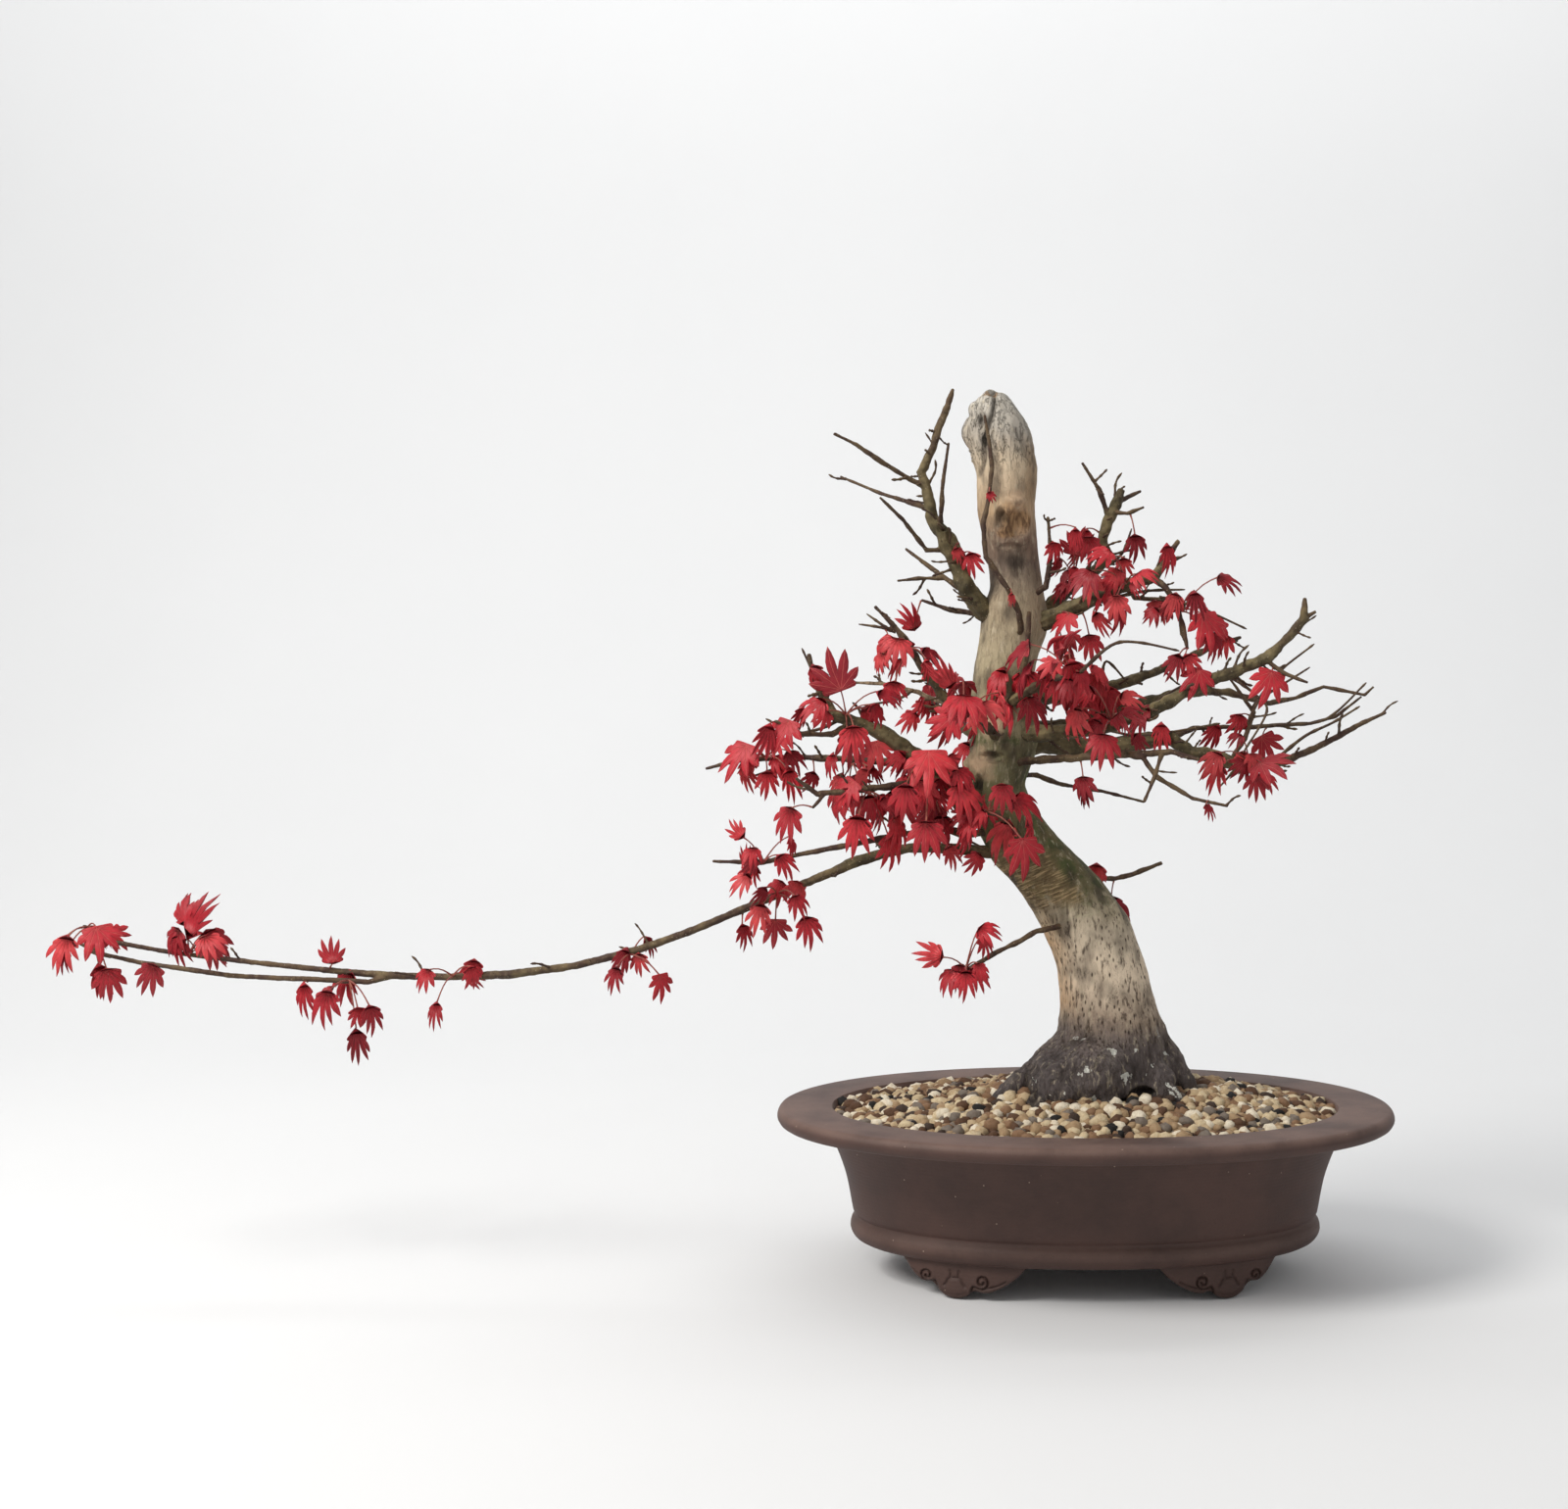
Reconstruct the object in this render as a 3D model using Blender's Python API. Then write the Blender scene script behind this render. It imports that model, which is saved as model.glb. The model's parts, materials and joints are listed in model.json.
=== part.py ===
"""A cascade-style maple bonsai growing in an oval unglazed clay pot.

The pot is one fired piece on four cloud feet, with two drain holes and four holes for the tie wires. Inside
it lie the drain screens and their clips, a coarse drainage layer, the soil, the tie wires and a top dressing
of gravel. The trunk, each branch and each spray of leaves is a solid of its own. Z is up, the floor is at 0,
and X runs along the pot's length. The frame's zero lies under the middle of the whole tree's span, so the
pot, which carries a long branch on its left, stands to the right of it.
"""

import math

import bmesh
import bpy
from mathutils import Matrix, Vector
from mathutils.bvhtree import BVHTree

MM = 0.001

# Pot, in metres.
POT_LENGTH = 0.420
POT_DEPTH = 0.306
POT_HEIGHT = 0.112
POT_CENTRE_X = 0.248
LIP_WIDTH = 0.038
LIP_THICKNESS = 0.013
WALL = 0.010
FLOOR = 0.012
BELT_HEIGHT = 0.016
FOOT_HEIGHT = 0.023
FOOT_DEPTH = 0.017
FOOT_PLACE = 0.089
POT_SIDES = 40
OVAL_POWER = 2.12

# Drain holes, tie holes and what covers them.
DRAIN_DIAMETER = 0.028
DRAIN_SPACING = 0.150
TIE_HOLE_DIAMETER = 0.005
TIE_SPREAD = 0.044
TIE_GAP = 0.012
WIRE_DIAMETER = 0.0024
SCREEN_SIDE = 0.042
SCREEN_THICKNESS = 0.0012
SCREEN_CELLS = 7

# Growing medium.
DRAINAGE_DEPTH = 0.014
GRAVEL_DEPTH = 0.022
GRAVEL_BELOW_RIM = 0.005
MOUND_RISE = 0.016
MOUND_LENGTH = 0.150
MOUND_DEPTH = 0.110

# Tree.
COLLAR_ABOVE_RIM = 0.010
TREE_SCALE = 1.0
LEAF_THICKNESS = 0.0008
STALK_RADIUS = 0.0007
STALK_OVERLAP = 0.12
SPUR_RADIUS = 0.0019
SPUR_LENGTH = 0.0042
CLEARANCE = 0.0003

# Routes of the wood: x from the middle of the pot, y away from the viewer, z above the collar, and the
# radius, all in millimetres. The first point of each lies inside the wood that it grows from.
ROUTES = {
    "trunk": [
        (17, 0, -34, 44), (17, 0, -12, 46), (17, 0, 8, 45), (18, -1, 28, 41), (17, -2, 50, 34),
        (14, -2, 70, 30.5), (10, -2, 90, 29),
        (4, -1, 107, 29), (-9, 0, 127, 26.5), (-25, 1, 148, 23.5), (-41, 2, 168, 22), (-52, 2, 185, 20.5),
        (-59, 2, 205, 18), (-59, 1, 228, 20.5), (-57, 0, 258, 21), (-55, 0, 287, 21.5), (-49, 1, 312, 20.5),
        (-46, 2, 343, 17.5), (-49, 3, 365, 18), (-53, 3, 397, 21), (-53, 2, 424, 21.5), (-58, 2, 446, 22),
        (-61, 2, 460, 19), (-61, 2, 471, 14), (-59, 2, 478, 7),
    ],
    "root_left": [(-2, -2, 34, 15), (-24, -12, 22, 12), (-43, -22, 9, 9), (-60, -30, -6, 7),
                  (-76, -37, -42, 5)],
    "root_front_left": [(4, -12, 30, 15), (-16, -30, 16, 12), (-32, -44, 2, 9), (-46, -60, -40, 5)],
    "root_front": [(16, -14, 24, 20), (14, -32, 10, 17), (12, -46, -2, 12), (8, -64, -40, 6)],
    "root_front_right": [(26, -12, 30, 14), (44, -28, 14, 11), (56, -40, 2, 8), (70, -55, -40, 5)],
    "root_right": [(36, 0, 38, 12), (55, -6, 28, 9.5), (67, -12, 8, 7.5), (84, -17, -40, 5)],
    "root_back_right": [(26, 14, 30, 14), (44, 32, 14, 11), (60, 46, -2, 8), (76, 60, -40, 5)],
    "root_back": [(10, 14, 28, 16), (4, 36, 12, 12), (-2, 52, -4, 8), (-8, 66, -42, 5)],
    "root_back_left": [(0, 8, 30, 14), (-20, 24, 14, 11), (-38, 36, 0, 8), (-54, 50, -40, 5)],
    "burl": [(42, -2, 44, 9), (51, -4, 40, 8), (54, -5, 32, 6)],
    "trailing": [
        (-48, 0, 156, 5), (-79, -5, 164, 4.4), (-102, -10, 166, 3.8), (-120, -14, 166, 3.6),
        (-139, -18, 162, 3.6),
        (-157, -20, 157, 4.4), (-170, -22, 151, 3.2), (-185, -24, 145, 3.1), (-217, -28, 132, 3),
        (-267, -30, 111, 2.8), (-301, -30, 99, 2.8), (-344, -30, 88, 2.6), (-388, -28, 82, 3.2),
        (-432, -26, 80, 2.4), (-473, -25, 81, 2.6), (-534, -20, 86, 2), (-582, -18, 91, 1.8),
        (-622, -18, 96, 1.7),
        (-658, -20, 103, 1.7), (-668, -22, 111, 1.8), (-677, -24, 114, 1.2),
    ],
    "trailing_fork": [
        (-470, -25, 80, 2), (-483, -29, 77, 2), (-514, -32, 79, 1.9), (-572, -36, 82, 1.8),
        (-597, -38, 86, 1.8),
        (-634, -36, 91, 1.6), (-662, -35, 97, 1.5), (-676, -34, 104, 1.1),
    ],
    "upper_shoot": [
        (-54, -2, 174, 3.5), (-80, -18, 176, 2.6), (-96, -26, 180, 2.2), (-123, -38, 177, 2),
        (-139, -42, 174, 2.4),
        (-187, -48, 165, 1.7), (-211, -50, 160, 1.8), (-222, -50, 159, 2), (-249, -52, 160, 1),
    ],
    "left_main": [
        (-56, -2, 194, 10), (-84, -18, 199, 8.4), (-93, -24, 211, 7), (-107, -32, 222, 6.4),
        (-124, -38, 235, 6),
        (-135, -40, 244, 5.4), (-157, -42, 252, 4.4), (-170, -44, 257, 4.4), (-177, -44, 269, 3),
        (-183, -44, 283, 2.2),
        (-186, -44, 297, 1.4),
    ],
    "left_main_side": [
        (-104, -31, 220, 5), (-116, -22, 223, 4), (-132, -14, 224, 3), (-158, -6, 226, 2.6),
        (-193, 2, 227, 2.3),
        (-234, 8, 226, 2), (-261, 10, 219, 1.1),
    ],
    "left_main_low": [
        (-90, -22, 207, 5), (-104, -40, 212, 3.6), (-128, -52, 210, 2.8), (-156, -62, 207, 2.4),
        (-179, -68, 205, 2),
        (-193, -72, 216, 1.1),
    ],
    "left_main_low_tip": [(-174, -67, 205, 1.6), (-182, -72, 196, 1)],
    "left_main_top": [(-155, -42, 252, 3), (-170, -52, 244, 2.2), (-189, -58, 244, 1.8), (-207, -62, 253, 1)],
    "left_middle": [
        (-56, 0, 250, 6), (-82, -3, 258, 4), (-97, -6, 269, 3.4), (-111, -8, 288, 3), (-120, -8, 303, 2.4),
        (-129, -8, 316, 2.2), (-143, -8, 330, 1.1),
    ],
    "left_middle_tip": [(-127, -8, 314, 1.6), (-145, -10, 317, 0.9)],
    "dead_twig": [(-56, 4, 256, 3), (-84, 18, 262, 2.2), (-104, 30, 267, 1.8), (-115, 36, 272, 1.7),
                  (-140, 48, 278, 1.5),
                  (-166, 58, 279, 0.9)],
    "upper_left": [
        (-50, 0, 316, 10), (-70, -6, 328, 7.6), (-78, -9, 338, 6.8), (-84, -12, 349, 6.2),
        (-90, -12, 371, 5.8),
        (-104, -14, 389, 4.6), (-108, -16, 410, 3.4), (-112, -16, 421, 3.4), (-104, -14, 437, 2.8),
        (-100, -12, 451, 2.6),
        (-94, -10, 466, 2.4), (-90, -8, 479, 1.4),
    ],
    "upper_left_stub": [(-88, -12, 360, 5), (-96, -17, 372, 4.6), (-97, -18, 381, 4)],
    "upper_left_twig": [(-108, -16, 411, 2), (-119, -18, 416, 1.8), (-138, -26, 427, 1.7),
                        (-155, -32, 438, 1.5),
                        (-170, -36, 445, 1)],
    "upper_left_back_twig": [(-105, -15, 396, 2), (-116, -10, 400, 1.7), (-139, 0, 408, 1.4),
                             (-168, 12, 421, 0.9)],
    "upper_left_side_twig": [(-90, -12, 369, 2), (-108, -20, 368, 1.8), (-123, -32, 387, 1.5),
                             (-139, -40, 402, 0.9)],
    "upper_left_upright": [(-99, -14, 384, 2), (-98, -22, 394, 1.7), (-97, -28, 412, 1.4),
                           (-93, -32, 439, 0.9)],
    "upper_left_low_twig": [(-77, -9, 337, 2.4), (-90, -4, 346, 2), (-106, 4, 358, 1.7), (-123, 10, 371, 1)],
    "upper_left_low_side": [(-96, 0, 350, 1.6), (-112, -2, 350, 1.4), (-128, -6, 348, 0.9)],
    "lower_left_twig": [(-50, 10, 320, 2.6), (-72, 18, 326, 2), (-92, 20, 329, 1.7), (-112, 22, 336, 0.9)],
    "dark_shoot": [
        (-46, -6, 306, 2.6), (-44, -27, 314, 2.1), (-46, -32, 326, 2), (-54, -36, 342, 1.9),
        (-68, -38, 362, 1.8),
        (-70, -38, 384, 1.8), (-66, -38, 402, 1.7), (-64, -38, 422, 1.5), (-66, -38, 440, 1.3),
        (-69, -38, 457, 0.9),
    ],
    "front_shoot": [(-46, -6, 272, 3.4), (-43, -27, 281, 2.6), (-40, -32, 304, 2.2), (-39, -32, 326, 1.4)],
    "upper_right": [
        (-46, 2, 314, 7), (-24, 10, 330, 5.4), (-12, 12, 342, 4.8), (7, 14, 355, 4.2), (18, 16, 366, 4),
        (13, 16, 375, 4),
        (16, 16, 388, 4), (23, 18, 402, 4.2), (27, 18, 413, 3.2),
    ],
    "upper_right_twig": [(18, 16, 393, 2), (11, 12, 412, 1.6), (-1, 8, 430, 1)],
    "upper_right_tip": [(24, 18, 403, 2), (32, 22, 408, 1.6), (41, 24, 412, 1)],
    "upper_right_side": [(20, 17, 397, 1.8), (30, 8, 395, 1.5), (41, 2, 399, 0.9)],
    "upper_right_low": [
        (-48, -2, 306, 8), (-22, -12, 323, 6), (4, -20, 335, 5.4), (21, -26, 342, 5), (46, -32, 350, 4),
        (52, -34, 360, 2.6),
        (61, -36, 373, 1.4),
    ],
    "upper_right_hook": [(44, -32, 349, 2.6), (52, -38, 342, 2.2), (59, -44, 330, 2), (63, -50, 312, 1.8),
                         (65, -52, 301, 1.1)],
    "upper_right_cross": [(27, -27, 343, 2), (33, -18, 336, 1.8), (46, -12, 335, 1.5), (60, -8, 336, 0.9)],
    "upright_shoot": [(-44, 0, 330, 3), (-27, -18, 343, 2.2), (-24, -22, 365, 1.8), (-26, -24, 390, 1)],
    "right_main": [
        (-54, 0, 236, 10), (-30, 4, 238, 8.4), (4, 10, 233, 6.8), (42, 12, 238, 5.8), (61, 12, 240, 5.2),
        (74, 10, 230, 5),
        (89, 8, 228, 4.6), (109, 6, 220, 5.2), (136, 2, 224, 3), (155, -2, 232, 2.4), (173, -6, 242, 2),
        (189, -10, 251, 1.6),
        (204, -12, 258, 1),
    ],
    "right_main_thin": [(60, 12, 240, 2.4), (78, 26, 247, 1.9), (122, 34, 248, 1.7), (161, 36, 250, 1.5),
                        (179, 36, 255, 1.3),
                        (197, 36, 269, 0.9)],
    "right_main_cross": [(101, 7, 224, 1.9), (112, 14, 240, 1.8), (119, 20, 258, 1.7), (103, 22, 281, 1)],
    "right_back": [(-52, 6, 246, 7), (-16, 36, 247, 5.4), (27, 52, 258, 4.8), (47, 60, 265, 4.4),
                   (77, 70, 271, 3.6),
                   (109, 80, 272, 2.6), (138, 78, 264, 1.9), (157, 74, 268, 1.6), (176, 70, 276, 1.4),
                   (204, 62, 270, 1.2),
                   (210, 60, 276, 0.9)],
    "right_front": [
        (-54, -4, 244, 7), (-26, -26, 244, 5.4), (16, -40, 250, 4.6), (41, -46, 259, 4.4),
        (73, -52, 277, 4), (92, -54, 284, 3.6),
        (117, -56, 294, 4.2), (128, -58, 305, 3), (141, -60, 320, 3.4), (141, -62, 334, 1.4),
    ],
    "right_front_tip": [(116, -56, 293, 2), (128, -60, 284, 1.6), (143, -64, 278, 0.9)],
    "right_front_spur": [(140, -60, 320, 2), (149, -60, 325, 1.2)],
    "right_rear_high": [(-50, 6, 272, 6), (-16, 40, 268, 4.6), (37, 62, 280, 3.8), (56, 68, 287, 3.4),
                        (78, 76, 296, 2.8),
                        (100, 82, 306, 2.2), (119, 86, 312, 1.1)],
    "right_low": [(-54, -4, 222, 4), (-34, -28, 226, 3), (0, -50, 229, 2.6), (26, -64, 231, 2.4),
                  (52, -78, 233, 2),
                  (69, -86, 228, 1.1)],
    "right_low_hang": [(22, -62, 231, 2), (34, -70, 229, 1.8), (42, -76, 217, 1.7), (65, -82, 203, 1.4),
                       (88, -84, 198, 0.9)],
    "right_low_drop": [(46, -75, 232, 1.7), (40, -84, 216, 1.4), (33, -90, 201, 0.9)],
    "right_inner_twig": [(-56, 2, 216, 2.6), (-32, 22, 214, 2), (-13, 34, 207, 1.7), (16, 44, 202, 1.4),
                         (46, 54, 194, 0.9)],
    "low_left_twig": [(0, -6, 114, 3), (-24, -28, 113, 2), (-34, -36, 112, 1.8), (-44, -43, 107, 1.7),
                      (-63, -54, 99, 1.6),
                      (-77, -60, 91, 1.6), (-91, -66, 83, 1.1)],
    "low_right_twig": [(-14, 6, 148, 3), (13, 26, 142, 2.2), (24, 36, 141, 2), (34, 40, 143, 1.9),
                       (58, 50, 151, 1.4)],
    "front_left_branch": [(-58, -4, 236, 5), (-64, -32, 246, 3.6), (-74, -58, 254, 2.8),
                          (-84, -86, 256, 1.2)],
    "front_right_branch": [(-56, -4, 260, 5), (-46, -34, 268, 3.6), (-28, -62, 280, 2.8),
                           (-8, -88, 284, 1.2)],
    "front_low_shoot": [(-46, -2, 178, 3), (-53, -26, 184, 2.2), (-60, -40, 190, 1.8), (-70, -56, 192, 1)],
    "back_low_branch": [(-58, 4, 226, 6), (-66, 36, 234, 4.4), (-84, 70, 248, 3.2), (-102, 104, 262, 2),
                        (-112, 128, 272, 1)],
    "back_high_branch": [(-50, 6, 296, 5), (-44, 36, 312, 3.8), (-30, 66, 328, 2.8), (-14, 96, 342, 1.8),
                         (-6, 118, 356, 1)],
}

# Each piece of wood: the routes that grew together as it, and the piece that it grows from.
WOOD = {
    "trunk": (["trunk", "root_left", "root_front_left", "root_front", "root_front_right", "root_right",
               "root_back_right", "root_back", "root_back_left", "burl"], None),
    "trailing_branch": (["trailing", "trailing_fork"], "trunk"),
    "upper_shoot": (["upper_shoot"], "trunk"),
    "left_main_branch": (["left_main", "left_main_side", "left_main_low", "left_main_low_tip",
                          "left_main_top"], "trunk"),
    "left_middle_branch": (["left_middle", "left_middle_tip"], "trunk"),
    "dead_twig": (["dead_twig"], "trunk"),
    "upper_left_branch": (["upper_left", "upper_left_stub", "upper_left_twig", "upper_left_back_twig",
                           "upper_left_side_twig", "upper_left_upright", "upper_left_low_twig",
                           "upper_left_low_side"], "trunk"),
    "lower_left_twig": (["lower_left_twig"], "trunk"),
    "dark_shoot": (["dark_shoot"], "trunk"),
    "front_shoot": (["front_shoot"], "trunk"),
    "upper_right_branch": (["upper_right", "upper_right_twig", "upper_right_tip", "upper_right_side"],
                           "trunk"),
    "upper_right_low_branch": (["upper_right_low", "upper_right_hook", "upper_right_cross"], "trunk"),
    "upright_shoot": (["upright_shoot"], "trunk"),
    "right_main_branch": (["right_main", "right_main_thin", "right_main_cross"], "trunk"),
    "right_back_branch": (["right_back"], "trunk"),
    "right_front_branch": (["right_front", "right_front_tip", "right_front_spur"], "trunk"),
    "right_rear_high_branch": (["right_rear_high"], "trunk"),
    "right_low_branch": (["right_low", "right_low_hang", "right_low_drop"], "trunk"),
    "right_inner_twig": (["right_inner_twig"], "trunk"),
    "low_left_twig": (["low_left_twig"], "trunk"),
    "low_right_twig": (["low_right_twig"], "trunk"),
    "front_left_branch": (["front_left_branch"], "trunk"),
    "front_right_branch": (["front_right_branch"], "trunk"),
    "front_low_shoot": (["front_low_shoot"], "trunk"),
    "back_low_branch": (["back_low_branch"], "trunk"),
    "back_high_branch": (["back_high_branch"], "trunk"),
}

# Each spray: its wood, the route and the share of it where its spur stands, the spur's direction, the number
# of leaves and the length of the largest in millimetres.
SPRAYS = {
    "tip_leaves": ("trailing_branch", "trailing", 0.998, (-0.3, -0.8, -0.3), 5, 33),
    "trailing_leaves_a": ("trailing_branch", "trailing", 0.885, (0, -0.5, 1), 4, 33),
    "trailing_leaves_b": ("trailing_branch", "trailing_fork", 0.14, (0, -0.8, -0.4), 4, 31),
    "trailing_leaves_c": ("trailing_branch", "trailing", 0.61, (0, -0.9, 0.2), 3, 23),
    "trailing_leaves_d": ("trailing_branch", "trailing", 0.42, (0, -0.7, -0.4), 2, 25),
    "trailing_leaves_e": ("trailing_branch", "trailing", 0.265, (0, -0.8, -0.2), 4, 30),
    "shoot_leaves": ("upper_shoot", "upper_shoot", 0.84, (0, -0.5, 0.8), 3, 23),
    "left_crown_leaves": ("left_main_branch", "left_main", 0.72, (-0.3, -0.6, 0.7), 5, 34),
    "left_inner_leaves": ("left_main_branch", "left_main", 0.40, (0, -0.9, 0.2), 5, 36),
    "left_outer_leaves": ("left_main_branch", "left_main_side", 0.74, (0, -0.9, 0.3), 5, 33),
    "left_side_leaves": ("left_main_branch", "left_main_side", 0.38, (0, 0.3, -0.9), 4, 32),
    "left_low_leaves": ("left_main_branch", "left_main_low", 0.62, (0, -0.4, -0.9), 4, 33),
    "left_hanging_leaves": ("left_main_branch", "left_main_low", 0.22, (0.2, -0.8, -0.6), 5, 38),
    "left_middle_leaves": ("left_middle_branch", "left_middle", 0.72, (-0.5, -0.6, 0.3), 4, 26),
    "front_left_leaves": ("front_left_branch", "front_left_branch", 0.93, (-0.1, -0.6, 0.6), 5, 38),
    "front_right_leaves": ("front_right_branch", "front_right_branch", 0.93, (0.1, -0.6, 0.6), 5, 38),
    "front_low_leaves": ("front_low_shoot", "front_low_shoot", 0.93, (-0.2, -0.7, 0.1), 4, 36),
    "upper_right_leaves": ("upper_right_branch", "upper_right", 0.42, (-0.3, -0.2, 0.9), 5, 28),
    "upper_right_low_leaves": ("upper_right_low_branch", "upper_right_low", 0.66, (0, -0.7, 0.5), 5, 30),
    "hook_leaves": ("upper_right_low_branch", "upper_right_hook", 0.60, (0.9, -0.3, 0.2), 5, 29),
    "right_front_leaves": ("right_front_branch", "right_front", 0.34, (0, -0.7, 0.6), 5, 36),
    "right_outer_leaves": ("right_main_branch", "right_main", 0.64, (0, -0.8, 0.5), 5, 32),
    "low_left_leaves": ("low_left_twig", "low_left_twig", 0.92, (-0.6, -0.5, 0.2), 5, 26),
    "back_leaves": ("back_low_branch", "back_low_branch", 0.90, (0, 0.5, 0.6), 5, 34),
}

COLOURS = {
    "clay": (0.14, 0.088, 0.072),
    "gravel": (0.42, 0.35, 0.26),
    "soil": (0.10, 0.07, 0.045),
    "bark": (0.36, 0.31, 0.22),
    "twig": (0.21, 0.17, 0.10),
    "deadwood": (0.60, 0.52, 0.40),
    "leaf": (0.50, 0.015, 0.03),
    "wire": (0.75, 0.75, 0.76),
    "screen": (0.05, 0.05, 0.05),
}

TREE_ZERO = Vector((POT_CENTRE_X, 0, POT_HEIGHT + COLLAR_ABOVE_RIM))
LIP_ROUND = LIP_THICKNESS / 3


def clear_scene():
    for old in list(bpy.data.objects):
        bpy.data.objects.remove(old)


def new_collection(name):
    made = bpy.data.collections.new(name)
    bpy.context.scene.collection.children.link(made)
    return made


def finish_material(name, finish):
    made = bpy.data.materials.new(name + "_" + finish)
    made.use_nodes = True
    shader = made.node_tree.nodes["Principled BSDF"]
    shader.inputs["Base Color"].default_value = (*COLOURS[finish], 1)
    shader.inputs["Roughness"].default_value = 0.4 if finish == "wire" else 0.75
    shader.inputs["Metallic"].default_value = 1.0 if finish == "wire" else 0.0
    return made


def object_of(name, mesh, finish=None):
    """A mesh as a finished piece with its own material, or as a cutter where it has none."""
    made = bpy.data.objects.new(name, mesh)
    if finish:
        made.data.materials.append(finish_material(name, finish))
        PIECES.objects.link(made)
    else:
        made.hide_render = True
        made.display_type = "WIRE"
        CUTTERS.objects.link(made)
    return made


def mesh_of(shape, name="shape"):
    """A bmesh, with its faces turned out, as a mesh."""
    bmesh.ops.recalc_face_normals(shape, faces=shape.faces)
    mesh = bpy.data.meshes.new(name)
    shape.to_mesh(mesh)
    shape.free()
    return mesh


def combine(piece, others, operation):
    """Booleans each of the others into the piece, one after another, and keeps the result as its mesh."""
    for other in others:
        boolean = piece.modifiers.new(operation.lower(), "BOOLEAN")
        boolean.operation = operation
        boolean.object = other
    graph = bpy.context.evaluated_depsgraph_get()
    made = bpy.data.meshes.new_from_object(piece.evaluated_get(graph))
    piece.modifiers.clear()
    piece.data = made


# Oval shapes.


def oval(offset, height, centre_x=POT_CENTRE_X):
    """One ring of the pot, set in from the lip's edge by an offset."""
    half_length, half_depth = POT_LENGTH / 2 - offset, POT_DEPTH / 2 - offset
    return oval_ring(half_length, half_depth, height, centre_x)


def oval_ring(half_length, half_depth, height, centre_x):
    ring = []
    for k in range(POT_SIDES):
        turn = 2 * math.pi * k / POT_SIDES
        across, along = math.cos(turn), math.sin(turn)
        x = math.copysign(abs(across) ** (2 / OVAL_POWER), across) * half_length
        y = math.copysign(abs(along) ** (2 / OVAL_POWER), along) * half_depth
        ring.append(Vector((centre_x + x, y, height)))
    return ring


def oval_depth(offset, x):
    """How far from the middle a ring of the pot runs at a place along its length."""
    half_length, half_depth = POT_LENGTH / 2 - offset, POT_DEPTH / 2 - offset
    share = min(abs(x) / half_length, 1)
    return half_depth * (1 - share**OVAL_POWER) ** (1 / OVAL_POWER)


def loft(rings):
    """A closed solid through rings of equal count, from the first to the last, with flat ends."""
    shape = bmesh.new()
    rows = [[shape.verts.new(point) for point in ring] for ring in rings]
    for low, high in zip(rows, rows[1:]):
        for k in range(len(low)):
            after = (k + 1) % len(low)
            shape.faces.new((low[k], low[after], high[after], high[k]))
    shape.faces.new(rows[0][::-1])
    shape.faces.new(rows[-1])
    return mesh_of(shape)


def cylinder(x, y, low, high, diameter, sides):
    shape = bmesh.new()
    bmesh.ops.create_cone(
        shape, cap_ends=True, segments=sides, radius1=diameter / 2, radius2=diameter / 2, depth=high - low,
        matrix=Matrix.Translation((x, y, (low + high) / 2)),
    )
    return mesh_of(shape)


def box(low, high):
    shape = bmesh.new()
    centre = (Vector(low) + Vector(high)) / 2
    size = Vector(high) - Vector(low)
    bmesh.ops.create_cube(shape, size=1, matrix=Matrix.Translation(centre) @ Matrix.Diagonal((*size, 1)))
    return mesh_of(shape)


# The pot's two profiles, as (offset from the lip's edge, height), from the middle of the underside out and up
# over the lip, then down inside to the middle of the floor.


def outer_profile():
    under_lip = POT_HEIGHT - LIP_THICKNESS
    belt_top = FOOT_HEIGHT + BELT_HEIGHT
    wall = under_lip - belt_top
    return [
        (0.061, FOOT_HEIGHT), (0.054, FOOT_HEIGHT + 0.001), (0.0512, FOOT_HEIGHT + BELT_HEIGHT * 0.22),
        (0.0498, FOOT_HEIGHT + BELT_HEIGHT * 0.45), (0.0508, FOOT_HEIGHT + BELT_HEIGHT * 0.75),
        (0.0532, belt_top - 0.001),
        (0.0517, belt_top + 0.002), (0.0472, belt_top + wall * 0.42),
        (0.0415, belt_top + wall * 0.72), (0.0340, under_lip - 0.003), (0.012, under_lip + 0.001),
        (LIP_ROUND * 0.3, under_lip + LIP_ROUND), (0, POT_HEIGHT - LIP_ROUND),
        (LIP_ROUND * 0.4, POT_HEIGHT - 0.001),
        (LIP_ROUND, POT_HEIGHT),
    ]


def inner_profile():
    floor_top = FOOT_HEIGHT + FLOOR
    depth = POT_HEIGHT - floor_top
    return [
        (LIP_WIDTH - 0.0015, POT_HEIGHT), (LIP_WIDTH, POT_HEIGHT - 0.002),
        (0.037 + WALL, POT_HEIGHT - depth * 0.28),
        (0.044 + WALL, POT_HEIGHT - depth * 0.60), (0.050 + WALL, floor_top + 0.006),
        (0.056 + WALL, floor_top),
    ]


def inside_at(height):
    """The offset of the pot's inner wall at a height."""
    points = inner_profile()
    for (high_offset, high), (low_offset, low) in zip(points, points[1:]):
        if low <= height <= high:
            return low_offset + (high_offset - low_offset) * (height - low) / (high - low)
    return points[-1][0]


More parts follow.
